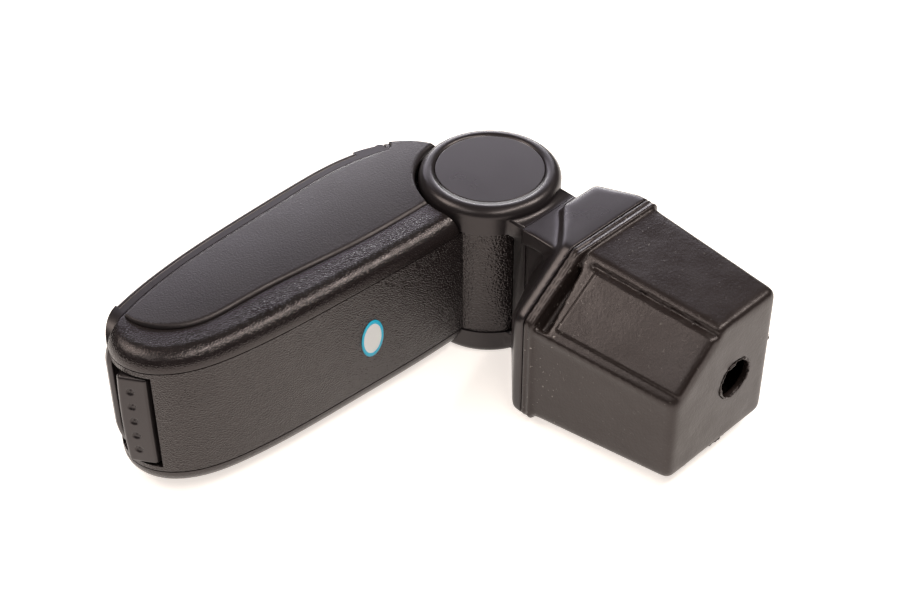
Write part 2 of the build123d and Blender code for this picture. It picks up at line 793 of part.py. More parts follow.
# Tray: underside, nose, hood and the walls of the storage compartment
ear_low_zs = [mid_z + side * lid_ear_spread / 2 - lid_ear_width / 2 for side in (-1, 1)]
cover_screw_x = (cover_screw_rear_x + cover_screw_front_x) / 2
cover_screw_y = (cover_screw_low_y + cover_screw_high_y) / 2
cover_screw_span_x = cover_screw_front_x - cover_screw_rear_x
cover_screw_span_y = cover_screw_low_y - cover_screw_high_y
cover_screw_reach = cover_depth - cover_wall - inlay_recess
slot_front_x = button_back_x + latch_arm_thickness + hook_slot_gap
slot_back_x = latch_arm_x - button_travel - button_gap
with BuildPart() as tray_shell:
    with BuildSketch(Plane.XY.offset(tray_low_z)):
        add(tray_side(0))
    extrude(amount=tray_width)
    with BuildSketch(Plane.XY.offset(tray_low_z + tray_wall)):
        add(above_floor(tray_wall, store_rear_x, store_front_x))
    extrude(amount=tray_width - 2 * tray_wall, mode=Mode.SUBTRACT)
    # shadow lines along the joints with the side covers
    for seam_z in (tray_low_z, tray_high_z - seam_line_width):
        with BuildSketch(Plane.XY.offset(seam_z)):
            add(below_seam(seam_line_depth))
        extrude(amount=seam_line_width, mode=Mode.SUBTRACT)
    # pocket for the latch button and the slot that its arm and the lid's hook share
    with BuildSketch(Plane.XY.offset(mid_z - button_length / 2 - button_gap)):
        with BuildLine():
            Polyline(
                (latch_pocket_back_x, button_foot_y + button_gap),
                (large, button_foot_y + button_gap),
                (large, button_top_y - button_gap),
                (latch_pocket_back_x, button_top_y - button_gap),
                close=True,
            )
        make_face()
    extrude(amount=button_length + 2 * button_gap, mode=Mode.SUBTRACT)
    with BuildSketch(Plane.XY.offset(mid_z - button_length / 2 - button_gap)):
        with BuildLine():
            Polyline(
                (nose_x - nose_recess, button_top_y),
                (large, button_top_y),
                (large, -large),
                (nose_x - nose_recess, -large),
                close=True,
            )
        make_face()
    extrude(amount=button_length + 2 * button_gap, mode=Mode.SUBTRACT)
    with BuildSketch(Plane.XY.offset(mid_z - hook_width / 2 - hook_slot_gap)):
        with BuildLine():
            Polyline(
                (slot_back_x, button_top_y),
                (slot_front_x, button_top_y),
                (slot_front_x, -large),
                (slot_back_x, -large),
                close=True,
            )
        make_face()
    extrude(amount=hook_width + 2 * hook_slot_gap, mode=Mode.SUBTRACT)
    # ears that carry the lid's hinge pin
    for ear_z in ear_low_zs:
        with BuildSketch(Plane.XY.offset(ear_z)):
            with Locations((lid_axis_x, lid_axis_y)):
                Circle(lid_ear_radius)
            with Locations((lid_axis_x, lid_axis_y + lid_knuckle_radius)):
                Rectangle(2 * lid_ear_radius, 2 * lid_knuckle_radius)
        extrude(amount=lid_ear_width)
    with BuildSketch(Plane.XY.offset(mid_z - lid_pin_length / 2)):
        with Locations((lid_axis_x, lid_axis_y)):
            Circle(lid_pin_radius)
    extrude(amount=lid_pin_length, mode=Mode.SUBTRACT)
    # screw holes to the barrel and to the side covers
    with BuildSketch(Plane.YZ.offset(barrel_screw_seat_x)):
        with Locations((barrel_screw_y, mid_z)):
            with GridLocations(barrel_screw_pitch_y, barrel_screw_pitch_z, 2, 2):
                Circle(screw_radius)
    extrude(amount=-barrel_screw_length, mode=Mode.SUBTRACT)
    with BuildSketch(Plane.YZ.offset(barrel_screw_seat_x)):
        with Locations((barrel_screw_y, mid_z)):
            with GridLocations(barrel_screw_pitch_y, barrel_screw_pitch_z, 2, 2):
                Circle(screw_head_radius + screw_head_gap)
    extrude(amount=barrel_screw_sink, mode=Mode.SUBTRACT)
    with BuildSketch(Plane.XY.offset(tray_low_z)):
        with Locations((cover_screw_x, cover_screw_y)):
            with GridLocations(cover_screw_span_x, cover_screw_span_y, 2, 2):
                Circle(screw_radius)
    extrude(amount=tray_width, mode=Mode.SUBTRACT)
tray_shell.part.label = "tray_shell"
export_step(tray_shell.part, "parts/tray_shell.step")

# Side covers: rounded caps over the tray's two sides, hollow, with bosses for their screws
with BuildPart() as left_side_cover:
    with BuildSketch(Plane.XY.offset(tray_high_z)):
        add(cover_side(0))
    extrude(amount=cover_depth)
    outer_edges = left_side_cover.edges().group_by(Axis.Z)[-1]
    fillet(outer_edges.sort_by(Axis.Y)[-2:], cover_edge_radius)
    rim_edges = left_side_cover.edges().group_by(Axis.Z)[-1].filter_by(GeomType.BSPLINE)
    fillet(rim_edges.sort_by(Axis.Y)[:2], cover_rim_radius)
    with BuildSketch(Plane.XY.offset(box_high_z)):
        add(inlay_side(0))
    extrude(amount=-inlay_recess, mode=Mode.SUBTRACT)
    with BuildSketch(Plane.XY.offset(tray_high_z)):
        add(cover_side(cover_pocket_inset))
        add(above_floor(cover_pocket_inset, store_rear_x, chin_x), mode=Mode.INTERSECT)
        with Locations((cover_screw_x, cover_screw_y)):
            with GridLocations(cover_screw_span_x, cover_screw_span_y, 2, 2):
                Circle(cover_boss_radius, mode=Mode.SUBTRACT)
    extrude(amount=cover_screw_reach, mode=Mode.SUBTRACT)
    with BuildSketch(Plane.XY.offset(tray_high_z)):
        with Locations((cover_screw_x, cover_screw_y)):
            with GridLocations(cover_screw_span_x, cover_screw_span_y, 2, 2):
                Circle(screw_radius)
    extrude(amount=cover_screw_reach, mode=Mode.SUBTRACT)
left_side_cover.part.label = "left_side_cover"
export_step(left_side_cover.part, "parts/left_side_cover.step")

with BuildPart() as right_side_cover:
    add(left_side_cover.part)
    mirror(about=Plane.XY.offset(mid_z), mode=Mode.REPLACE)
right_side_cover.part.label = "right_side_cover"
export_step(right_side_cover.part, "parts/right_side_cover.step")

# Inlay panels, set into the side covers and standing a little proud of them
with BuildPart() as left_side_inlay:
    with BuildSketch(Plane.XY.offset(box_high_z - inlay_recess)):
        add(inlay_side(inlay_gap))
    extrude(amount=inlay_recess + inlay_rise)
    fillet(left_side_inlay.edges().group_by(Axis.Z)[-1], inlay_edge_radius)
left_side_inlay.part.label = "left_side_inlay"
export_step(left_side_inlay.part, "parts/left_side_inlay.step")

with BuildPart() as right_side_inlay:
    add(left_side_inlay.part)
    mirror(about=Plane.XY.offset(mid_z), mode=Mode.REPLACE)
right_side_inlay.part.label = "right_side_inlay"
export_step(right_side_inlay.part, "parts/right_side_inlay.step")

# Lid: a stiff frame with hinge knuckles, guide ribs and a hook, and the pad that covers it
rib_low_zs = [tray_low_z + tray_wall + rib_gap, tray_high_z - tray_wall - rib_gap - rib_thickness]
hook_tip_y = latch_arm_bar_y - hook_clearance
with BuildPart() as lid_frame:
    with BuildSketch(Plane.XY.offset(lid_low_z)) as frame_side:
        add(lid_side())
        with BuildSketch(mode=Mode.PRIVATE) as pad_space:
            add(lid_region(lid_gap + lid_frame_thickness))
            with Locations(((pad_rear_x + pad_front_x) / 2, 0)):
                Rectangle(pad_front_x - pad_rear_x, 2 * large, mode=Mode.INTERSECT)
        add(pad_space.sketch, mode=Mode.SUBTRACT)
    extrude(amount=lid_width)
    with BuildSketch(cross_plane(large)):
        with Locations((0, mid_z)):
            lid_plan = Rectangle(2 * (nose_x - lid_setback), lid_width)
        fillet(lid_plan.vertices().group_by(Axis.X)[-1], lid_corner_radius)
    extrude(amount=2 * large, mode=Mode.INTERSECT)
    for ear_z in ear_low_zs:
        with BuildSketch(Plane.XY.offset(ear_z - lid_ear_gap)):
            with Locations((lid_axis_x, lid_axis_y)):
                Rectangle(2 * (lid_ear_radius + lid_knuckle_gap), 4 * lid_knuckle_radius)
            with Locations((lid_axis_x - lid_knuckle_radius, lid_axis_y)):
                Rectangle(2 * lid_knuckle_radius, 4 * lid_knuckle_radius)
        extrude(amount=lid_ear_width + 2 * lid_ear_gap, mode=Mode.SUBTRACT)
    with BuildSketch(Plane.XY.offset(mid_z - lid_pin_length / 2)):
        with Locations((lid_axis_x, lid_axis_y)):
            Circle(lid_pin_radius + pin_fit)
    extrude(amount=lid_pin_length, mode=Mode.SUBTRACT)
    for rib_z in rib_low_zs:
        with BuildSketch(Plane.XY.offset(rib_z)):
            add(lid_region(-rib_height))
            add(lid_region(lid_gap + lid_frame_thickness / 2), mode=Mode.SUBTRACT)
            with Locations(((store_rear_x + store_front_x) / 2, 0)):
                Rectangle(store_front_x - store_rear_x - 2 * rib_gap, 2 * large, mode=Mode.INTERSECT)
        extrude(amount=rib_thickness)
    with BuildSketch(Plane.XY.offset(mid_z - hook_width / 2)):
        with BuildLine():
            Polyline(
                (hook_back_x, hook_root_y),
                (hook_back_x, hook_tip_y - hook_barb_height),
                (hook_barb_x, hook_tip_y - hook_barb_height),
                (hook_back_x, hook_tip_y),
                (hook_front_x, hook_tip_y),
                (hook_front_x, hook_root_y),
                close=True,
            )
        make_face()
    extrude(amount=hook_width)
lid_frame.part.label = "lid_frame"
export_step(lid_frame.part, "parts/lid_frame.step")

with BuildPart() as lid_pad:
    with BuildSketch(Plane.XY.offset(lid_low_z)):
        add(lid_side())
        add(pad_space.sketch, mode=Mode.INTERSECT)
    extrude(amount=lid_width)
    ends = lid_pad.edges().group_by(Axis.Z)
    crowns = [end.sort_by(SortBy.LENGTH)[-2:].sort_by(Axis.Y)[0] for end in (ends[0], ends[-1])]
    fillet(crowns, pad_edge_radius)
lid_pad.part.label = "lid_pad"
export_step(lid_pad.part, "parts/lid_pad.step")

with BuildPart() as lid_hinge_pin:
    with BuildSketch(Plane.XY.offset(mid_z - lid_pin_length / 2)):
        with Locations((lid_axis_x, lid_axis_y)):
            Circle(lid_pin_radius)
    extrude(amount=lid_pin_length)
lid_hinge_pin.part.label = "lid_hinge_pin"
export_step(lid_hinge_pin.part, "parts/lid_hinge_pin.step")

# Latch button: a dimpled finger bar with an arm that reaches over the hook's barb
face_run_x = button_lip_x - button_foot_x
face_run_y = button_lip_y - button_foot_y
face_length = math.hypot(face_run_x, face_run_y)
dimple_share = button_dimple_inset / face_length
face_plane = Plane(
    origin=(button_lip_x - dimple_share * face_run_x, button_lip_y - dimple_share * face_run_y, mid_z),
    x_dir=(0, 0, 1),
    z_dir=(-face_run_y / face_length, face_run_x / face_length, 0),
)
dimple_lift = button_dimple_radius - button_dimple_depth
with BuildPart() as latch_button:
    with BuildSketch(Plane.XY.offset(mid_z - button_length / 2)):
        with BuildLine():
            Polyline(
                (button_back_x, button_foot_y),
                (button_foot_x, button_foot_y),
                (button_lip_x, button_lip_y),
                (button_lip_x - button_lip_thickness, button_top_y),
                (button_back_x, button_top_y),
                close=True,
            )
        make_face()
    extrude(amount=button_length)
    with BuildSketch(cross_plane(large)):
        with Locations((button_lip_x - button_bow_radius, mid_z)):
            Circle(button_bow_radius)
    extrude(amount=2 * large, mode=Mode.INTERSECT)
    fillet(latch_button.faces().sort_by(Axis.X)[-1].edges(), button_edge_radius)
    with Locations(face_plane.offset(dimple_lift)):
        with GridLocations(button_dimple_pitch, 0, button_dimples, 1):
            Sphere(button_dimple_radius, mode=Mode.SUBTRACT)
    with BuildSketch(Plane.XY.offset(mid_z - latch_arm_width / 2)):
        with BuildLine():
            Polyline(
                (button_back_x + latch_arm_thickness, button_top_y),
                (button_back_x + latch_arm_thickness, latch_arm_bar_y),
                (latch_arm_x + latch_arm_thickness, latch_arm_bar_y),
                (latch_arm_x + latch_arm_thickness, latch_arm_top_y + latch_ledge_height),
                (latch_arm_x + latch_arm_thickness + latch_ledge, latch_arm_top_y + latch_ledge_height),
                (latch_arm_x + latch_arm_thickness, latch_arm_top_y),
                (latch_arm_x, latch_arm_top_y),
                (latch_arm_x, button_top_y),
                close=True,
            )
        make_face()
    extrude(amount=latch_arm_width)
latch_button.part.label = "latch_button"
export_step(latch_button.part, "parts/latch_button.step")

# Leaf spring bowed between the back of the pocket and the back of the button
spring_y = (button_foot_y + button_top_y) / 2
with BuildPart() as latch_spring:
    with BuildSketch(cross_plane(spring_y + spring_width / 2)):
        with BuildLine():
            bow = ThreePointArc(
                (latch_pocket_back_x, mid_z - spring_length / 2),
                (button_back_x - spring_thickness, mid_z),
                (latch_pocket_back_x, mid_z + spring_length / 2),
            )
            Line(bow @ 1, (bow @ 1) + Vector(spring_thickness, 0))
            crown = ThreePointArc(
                (latch_pocket_back_x + spring_thickness, mid_z - spring_length / 2),
                (button_back_x, mid_z),
                (latch_pocket_back_x + spring_thickness, mid_z + spring_length / 2),
            )
            Line(crown @ 0, bow @ 0)
        make_face()
    extrude(amount=spring_width)
latch_spring.part.label = "latch_spring"
export_step(latch_spring.part, "parts/latch_spring.step")

# Screws: barrel to tray, and tray to side covers
with BuildPart() as barrel_screws:
    with BuildSketch(Plane.YZ.offset(barrel_screw_seat_x)):
        with Locations((barrel_screw_y, mid_z)):
            with GridLocations(barrel_screw_pitch_y, barrel_screw_pitch_z, 2, 2):
                Circle(screw_radius)
    extrude(amount=-barrel_screw_length)
    with BuildSketch(Plane.YZ.offset(barrel_screw_seat_x)):
        with Locations((barrel_screw_y, mid_z)):
            with GridLocations(barrel_screw_pitch_y, barrel_screw_pitch_z, 2, 2):
                Circle(screw_head_radius)
    extrude(amount=screw_head_height)
barrel_screws.part.label = "barrel_screws"
export_step(barrel_screws.part, "parts/barrel_screws.step")

with BuildPart() as cover_screws:
    for seat_z, outward in ((tray_high_z - tray_wall, 1), (tray_low_z + tray_wall, -1)):
        with BuildSketch(Plane.XY.offset(seat_z)):
            with Locations((cover_screw_x, cover_screw_y)):
                with GridLocations(cover_screw_span_x, cover_screw_span_y, 2, 2):
                    Circle(screw_radius)
        extrude(amount=outward * (tray_wall + cover_screw_reach))
        with BuildSketch(Plane.XY.offset(seat_z)):
            with Locations((cover_screw_x, cover_screw_y)):
                with GridLocations(cover_screw_span_x, cover_screw_span_y, 2, 2):
                    Circle(screw_head_radius)
        extrude(amount=-outward * screw_head_height)
cover_screws.part.label = "cover_screws"
export_step(cover_screws.part, "parts/cover_screws.step")
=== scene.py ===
"""Looks of a car centre armrest with a console foot, built around its CAD frame."""

import json
import math

import bmesh
import bpy
import numpy
from bpy.props import FloatProperty, FloatVectorProperty, IntProperty, PointerProperty
from bpy.types import Node, NodeSocket, Operator, Panel, PropertyGroup
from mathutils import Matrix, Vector, noise
from mathutils.bvhtree import BVHTree


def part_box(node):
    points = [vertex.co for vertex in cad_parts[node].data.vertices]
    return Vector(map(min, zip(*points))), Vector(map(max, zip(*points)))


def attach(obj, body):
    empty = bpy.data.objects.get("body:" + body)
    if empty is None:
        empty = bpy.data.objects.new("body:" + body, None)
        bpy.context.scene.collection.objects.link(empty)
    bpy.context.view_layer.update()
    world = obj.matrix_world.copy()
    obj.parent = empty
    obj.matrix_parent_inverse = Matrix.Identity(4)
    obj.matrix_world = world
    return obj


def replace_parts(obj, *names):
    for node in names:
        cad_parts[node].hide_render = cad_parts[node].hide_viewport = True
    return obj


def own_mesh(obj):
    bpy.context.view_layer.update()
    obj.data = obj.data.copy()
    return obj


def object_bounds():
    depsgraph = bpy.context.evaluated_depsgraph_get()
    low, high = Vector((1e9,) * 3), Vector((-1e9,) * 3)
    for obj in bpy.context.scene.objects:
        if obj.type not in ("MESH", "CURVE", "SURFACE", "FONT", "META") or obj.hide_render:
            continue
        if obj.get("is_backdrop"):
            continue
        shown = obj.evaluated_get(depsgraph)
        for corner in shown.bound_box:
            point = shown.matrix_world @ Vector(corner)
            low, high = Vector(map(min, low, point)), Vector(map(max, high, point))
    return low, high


bl_info = {
    "name": "Car centre armrest",
    "version": (1, 0, 0),
    "blender": (4, 5, 0),
    "location": "3D View > Sidebar > Armrest",
    "description": "Dresses the armrest's CAD frame with its pad, label, trim and finishes",
    "category": "Object",
}

MM = 0.001
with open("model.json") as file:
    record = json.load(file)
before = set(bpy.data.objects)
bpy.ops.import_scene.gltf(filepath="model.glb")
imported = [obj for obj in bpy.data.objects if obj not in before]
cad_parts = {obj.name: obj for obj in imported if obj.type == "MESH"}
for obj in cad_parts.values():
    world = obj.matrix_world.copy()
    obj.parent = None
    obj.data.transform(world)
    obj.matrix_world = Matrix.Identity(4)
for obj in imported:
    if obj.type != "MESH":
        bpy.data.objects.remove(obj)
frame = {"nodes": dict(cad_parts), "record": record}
CAD_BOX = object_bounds()
HOLE = next(mount for mount in frame["record"]["mounts"] if mount["name"] == "clamp_access")
HOLE_PLACE = Vector(HOLE["pos_m"])
HOLE_RADIUS = HOLE["dims"]["r_mm"] * MM


def linear(hex_colour):
    """Linear RGBA of an sRGB hex colour."""
    channels = [int(hex_colour[i : i + 2], 16) / 255 for i in (0, 2, 4)]
    return [c / 12.92 if c <= 0.04045 else ((c + 0.055) / 1.055) ** 2.4 for c in channels] + [1.0]


# tint of the black plastics' gloss
WARM = linear("fff4f4")


def colour_property(name, description, hex_colour):
    """A colour that a user can change, given as an sRGB hex value."""
    return FloatVectorProperty(
        name=name, description=description, subtype="COLOR", size=4, min=0, max=1,
        default=linear(hex_colour),
    )


def length_property(name, description, millimetres):
    """A length that a user can change, given in millimetres."""
    return FloatProperty(
        name=name, description=description, subtype="DISTANCE", unit="LENGTH",
        default=millimetres * MM, precision=5,
    )


def count_property(name, description, count, least=0):
    """A whole number that a user can change."""
    return IntProperty(name=name, description=description, default=count, min=least)


class ArmrestColours(PropertyGroup):
    """Colours of the armrest's materials."""

    grained: colour_property("Grained plastic", "Side covers, tray and barrel", "211c1c")
    inlay: colour_property("Inlay plastic", "Panels in the side covers", "221e1f")
    satin: colour_property("Satin plastic", "Hinge fork, caps, lid frame and latch bar", "231f20")
    rough: colour_property("Rough plastic", "Console insert", "221b19")
    leatherette: colour_property("Leatherette", "Lid pad", "1e1b1b")
    scuff: colour_property("Scuff", "Pale scuffs and specks", "b8b2ac")
    label: colour_property("Label", "Middle of the label", "f4f6f7")
    label_rim: colour_property("Label rim", "Rim of the label", "1fc3ea")


class ArmrestSizes(PropertyGroup):
    """Sizes of the pieces that are made here."""

    label_width: length_property("Label width", "Along the armrest", 16.0)
    label_height: length_property("Label height", "Across the armrest", 26.5)
    label_rim: length_property("Label rim", "Width of the label's coloured rim", 1.6)
    label_thickness: length_property("Label thickness", "Thickness of the label's film", 0.2)
    label_x: length_property("Label place forward", "From the hinge axis", 109.0)
    label_z: length_property("Label place across", "From the lower side", 52.6)
    cover_grain: length_property("Cover grain", "Width of a grain cell on the covers", 1.5)
    barrel_grain: length_property("Barrel grain", "Width of a grain cell on the barrel", 2.2)
    pad_grain: length_property("Pad grain", "Width of a grain cell on the pad", 1.9)
    pad_voxel: length_property("Pad voxel", "Mesh size for the pad's simulation", 1.6)
    pad_swell: length_property("Pad swell", "Furthest that the pad may swell", 2.2)
    pad_rounds: count_property("Pad rounding", "Rounds of softening", 8)
    pad_frames: count_property("Pad frames", "Steps of the pad's simulation", 20, 1)
    foot_voxel: length_property("Foot voxel", "Mesh size of the foot's soft mouldings", 1.1)
    foot_rounds: count_property("Insert rounding", "Rounds of softening", 16)
    hood_rounds: count_property("Hood rounding", "Rounds of softening", 14)
    panel_rise: length_property("Panel rise", "Height of the panel on the foot's cut corner", 0.9)
    piping_radius: length_property("Piping radius", "Edge bead along the lid's sides", 1.7)
    lip_round: length_property("Lid lip rounding", "Radius of the lid lip's edges", 1.2)
    lip_step: length_property("Lid lip step", "Mesh size of the lid's lip", 0.8)
    bar_round: length_property("Latch bar rounding", "Radius of the latch bar's edges", 2.0)
    bar_step: length_property("Latch bar step", "Mesh size of the latch bar", 0.4)
    dimple_radius: length_property("Dimple radius", "Ball that makes a latch bar dimple", 3.1)
    dimple_depth: length_property("Dimple depth", "Depth of a latch bar dimple", 1.4)
    dimple_pitch: length_property("Dimple pitch", "Distance between latch bar dimples", 10.9)
    bead_height: length_property("Bead height", "Raised bead in each dimple", 1.1)
    inlay_crown: length_property("Inlay crown", "Height of the side panels' crown", 1.3)
    inlay_ramp: length_property("Inlay ramp", "Width of the edge towards the underside", 2.0)
    inlay_drop: length_property("Inlay drop", "Fall of the edge towards the underside", 1.1)
    inlay_step_along: length_property("Inlay step along", "Mesh size along the panels", 4.0)
    inlay_step_across: length_property("Inlay step across", "Mesh size across the panels", 0.8)
    burr_width: length_property("Burr width", "Torn plastic round the hole in the foot", 2.2)
    flash_height: length_property("Flash height", "Thin moulding flash on the foot's end", 1.3)
    flash_thickness: length_property("Flash thickness", "Moulding flash at its foot", 0.5)
    screw_radius: length_property("Screw radius", "Outside of the screws' thread", 1.75)
    screw_head: length_property("Screw head", "Height of the screws' heads", 2.2)
    screw_pitch: length_property("Screw pitch", "Rise of the screws' thread", 1.4)


def add_node(tree, kind, inputs=None, to=None, **settings):
    """Add a node with its settings, set or link its inputs, and link its first output to a socket.

    An input takes a value, a socket, a node (its first output), or several nodes in a tuple.
    """
    node = tree.nodes.new(kind)
    for name, value in settings.items():
        setattr(node, name, value)
    for key, value in (inputs or {}).items():
        sources = [
            source.outputs[0] if isinstance(source, Node) else source
            for source in (value if isinstance(value, tuple) else (value,))
        ]
        if isinstance(sources[0], NodeSocket):
            for source in sources:
                tree.links.new(source, node.inputs[key])
        else:
            node.inputs[key].default_value = value
    if to is not None:
        tree.links.new(node.outputs[0], to)
    return node


def per_metre(length):
    """Texture scale whose features have a given length in metres."""
    return 1.0 / length


def new_material(name, colour, patch, roughness, relief, strength, depth, stretch=None, **sockets):
    """A material with one Principled shader, a roughness that changes in patches, and a relief.

    Lengths are in millimetres. The relief is a function of the tree, coordinates and patches.
    """
    material = bpy.data.materials.new(name)
    material.use_nodes = True
    tree = material.node_tree
    shader = tree.nodes["Principled BSDF"].inputs
    shader["Base Color"].default_value = colour
    for key, value in sockets.items():
        shader[key.replace("_", " ").title()].default_value = value
    place = add_node(tree, "ShaderNodeTexCoord").outputs["Object"]
    if stretch:
        place = add_node(tree, "ShaderNodeMapping", {"Vector": place, "Scale": stretch})
    slow = {"Vector": place, "Scale": per_metre(patch * MM), "Detail": 3.0}
    patches = add_node(tree, "ShaderNodeTexNoise", slow)
    low, high = roughness
    spread = {"Value": patches, "From Min": 0.3, "From Max": 0.7, "To Min": low, "To Max": high}
    add_node(tree, "ShaderNodeMapRange", spread, shader["Roughness"])
    height = relief(tree, place, patches)
    bump = {"Height": height, "Strength": strength, "Distance": depth * MM}
    add_node(tree, "ShaderNodeBump", bump, shader["Normal"])
    return material


def grain(cell):
    """Relief of leather grain: rounded cells between narrow creases, finer pores over them."""

    def height(tree, place, _):
        warp, pores = (
            add_node(
                tree, "ShaderNodeTexNoise",
                {"Vector": place, "Scale": per_metre(share * cell), "Detail": 2.0},
            )
            for share in (2.5, 0.45)
        )
        shifted = add_node(
            tree, "ShaderNodeVectorMath",
            {0: warp.outputs["Color"], 1: (cell, cell, cell), 2: place}, operation="MULTIPLY_ADD",
        )
        cells = add_node(
            tree, "ShaderNodeTexVoronoi",
            {"Vector": shifted, "Scale": per_metre(cell), "Randomness": 1.0},
            feature="DISTANCE_TO_EDGE",
        )
        domes = add_node(
            tree, "ShaderNodeMapRange",
            {"Value": cells.outputs["Distance"], "From Min": 0.0, "From Max": 0.32},
            interpolation_type="SMOOTHSTEP",
        )
        both = {0: pores, 1: 0.5, 2: domes}
        return add_node(tree, "ShaderNodeMath", both, operation="MULTIPLY_ADD")

    return height


def pits(size, detail):
    """Relief of fine, even pits of a size in millimetres."""
    return lambda tree, place, _: add_node(
        tree, "ShaderNodeTexNoise",
        {"Vector": place, "Scale": per_metre(size * MM), "Detail": detail},
    )


def clouds(tree, place, patches):
    """Relief that follows the patches of the roughness."""
    return patches


def rings(tree, place, _):
    """Relief of fine rings from a lathe."""
    bands = {"Vector": place, "Scale": per_metre(6 * MM)}
    return add_node(tree, "ShaderNodeTexWave", bands, bands_direction="Y").outputs["Fac"]


def coarse_skin(tree, place, _):
    """Relief of a coarse tool: an uneven skin over slow waves."""
    skin, waves = (
        add_node(
            tree, "ShaderNodeTexNoise",
            {"Vector": place, "Scale": per_metre(size * MM), "Detail": detail},
        )
        for size, detail in ((1.6, 3.0), (16, 2.0))
    )
    return add_node(tree, "ShaderNodeMath", {0: waves, 1: 2.5, 2: skin}, operation="MULTIPLY_ADD")


def add_scuffs(material, colour, scuff):
    """Pale specks, most of them where the foot's lip was pressed into the console."""
    tree = material.node_tree
    place = add_node(tree, "ShaderNodeTexCoord").outputs["Object"]
    fine = {"Vector": place, "Scale": per_metre(2.4 * MM), "Detail": 4.0}
    specks = add_node(tree, "ShaderNodeTexNoise", fine)
    few = {"Value": specks, "From Min": 0.66, "From Max": 0.76}
    marked = add_node(tree, "ShaderNodeMapRange", few)
    along = add_node(tree, "ShaderNodeSeparateXYZ", {"Vector": place}).outputs["Y"]
    near_lip = add_node(
        tree, "ShaderNodeMapRange",
        {"Value": along, "From Min": 88 * MM, "From Max": 118 * MM, "To Min": 1.0, "To Max": 0.12},
    )
    amount = add_node(tree, "ShaderNodeMath", {0: marked, 1: near_lip}, operation="MULTIPLY")
    # a colour Mix has its factor on input 0, its colours on 6 and 7 and its result on output 2
    mixed = add_node(tree, "ShaderNodeMix", data_type="RGBA")
    tree.links.new(amount.outputs["Value"], mixed.inputs[0])
    mixed.inputs[6].default_value = colour
    mixed.inputs[7].default_value = scuff
    tree.links.new(mixed.outputs[2], tree.nodes["Principled BSDF"].inputs["Base Color"])


def placed(name, data):
    """A new object in the scene."""
    piece = bpy.data.objects.new(name, data)
    bpy.context.scene.collection.objects.link(piece)
    return piece


def link_piece(name, mesh, body):
    """Put a finished mesh into the scene as a piece that rides on a body."""
    piece = placed(name, mesh)
    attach(piece, body)
    return piece


def merged_copy(node):
    """A bmesh copy of a CAD node with its loose triangles joined."""
    shape = bmesh.new()
    shape.from_mesh(frame["nodes"][node].data)
    bmesh.ops.remove_doubles(shape, verts=shape.verts, dist=1e-6)
    return shape


def surface_of(node):
    """Search tree of a CAD node's surface."""
    shape = merged_copy(node)
    tree = BVHTree.FromBMesh(shape)
    shape.free()
    return tree


def islands(node):
    """Lowest and highest corner of each separate solid of a CAD node, in the order of place."""
    shape = merged_copy(node)
    left = set(shape.verts)
    boxes = []
    while left:
        found = [left.pop()]
        points = []
        while found:
            vertex = found.pop()
            points.append(vertex.co.copy())
            for edge in vertex.link_edges:
                other = edge.other_vert(vertex)
                if other in left:
                    left.remove(other)
                    found.append(other)
        boxes.append((Vector(map(min, zip(*points))), Vector(map(max, zip(*points)))))
    shape.free()
    return sorted(boxes, key=lambda box: tuple(box[0]))


def plain_mesh(piece):
    """The evaluated mesh of an object, with nothing live on it."""
    graph = bpy.context.evaluated_depsgraph_get()
    return bpy.data.meshes.new_from_object(piece.evaluated_get(graph))


def raw_mesh(shape, name):
    """Mesh of a bmesh; the bmesh is used up."""
    mesh = bpy.data.meshes.new(name)
    shape.to_mesh(mesh)
    shape.free()
    return mesh


def smooth_mesh(shape, name, material, sharp):
    """Mesh of a bmesh, smooth but for edges sharper than an angle; the bmesh is used up."""
    mesh = raw_mesh(shape, name)
    mesh.shade_smooth()
    mesh.set_sharp_from_angle(angle=math.radians(sharp))
    mesh.materials.append(bpy.data.materials[material])
    return mesh


def remeshed(shape, name, voxel):
    """Even mesh of a closed bmesh, with its points on the bmesh; the bmesh is used up."""
    surface = BVHTree.FromBMesh(shape)
    piece = placed(name, raw_mesh(shape, name))
    remesh = piece.modifiers.new("voxels", "REMESH")
    remesh.mode = "VOXEL"
    remesh.voxel_size = voxel
    even = plain_mesh(piece)
    bpy.data.objects.remove(piece)
    if not len(even.vertices):
        raise RuntimeError(name + " has an empty voxel mesh")
    for vertex in even.vertices:
        vertex.co = surface.find_nearest(vertex.co)[0]
    even.name = name
    return even


def soften(mesh, rounds, share):
    """Round a mesh's edges: points move towards their neighbours, by a share set by place."""
    count = len(mesh.vertices)
    places = numpy.empty(3 * count)
    mesh.vertices.foreach_get("co", places)
    places = places.reshape(-1, 3)
    ends = numpy.empty(2 * len(mesh.edges), dtype=int)
    mesh.edges.foreach_get("vertices", ends)
    first, second = ends.reshape(-1, 2).T
    degree = numpy.bincount(ends, minlength=count)[:, None]
    pull = 0.5 * numpy.array([share(Vector(place)) for place in places])[:, None]
    for _ in range(rounds):
        around = [
            numpy.bincount(first, places[second, k], count)
            + numpy.bincount(second, places[first, k], count)
            for k in range(3)
        ]
        places += pull * (numpy.stack(around, 1) / degree - places)
    mesh.vertices.foreach_set("co", places.ravel())
    mesh.update()


def ramp(value, start, end):
    """0 before start, 1 after end, and a straight line between them."""
    return min(max((value - start) / (end - start), 0.0), 1.0)


def rising(least, value, start, end):
    """A least share before start, 1 after end, and a straight line between them."""
    return least + (1 - least) * ramp(value, start, end)


def corners(outline):
    """An outline in millimetres as flat points in metres."""
    return [Vector((x * MM, y * MM)) for x, y in outline]


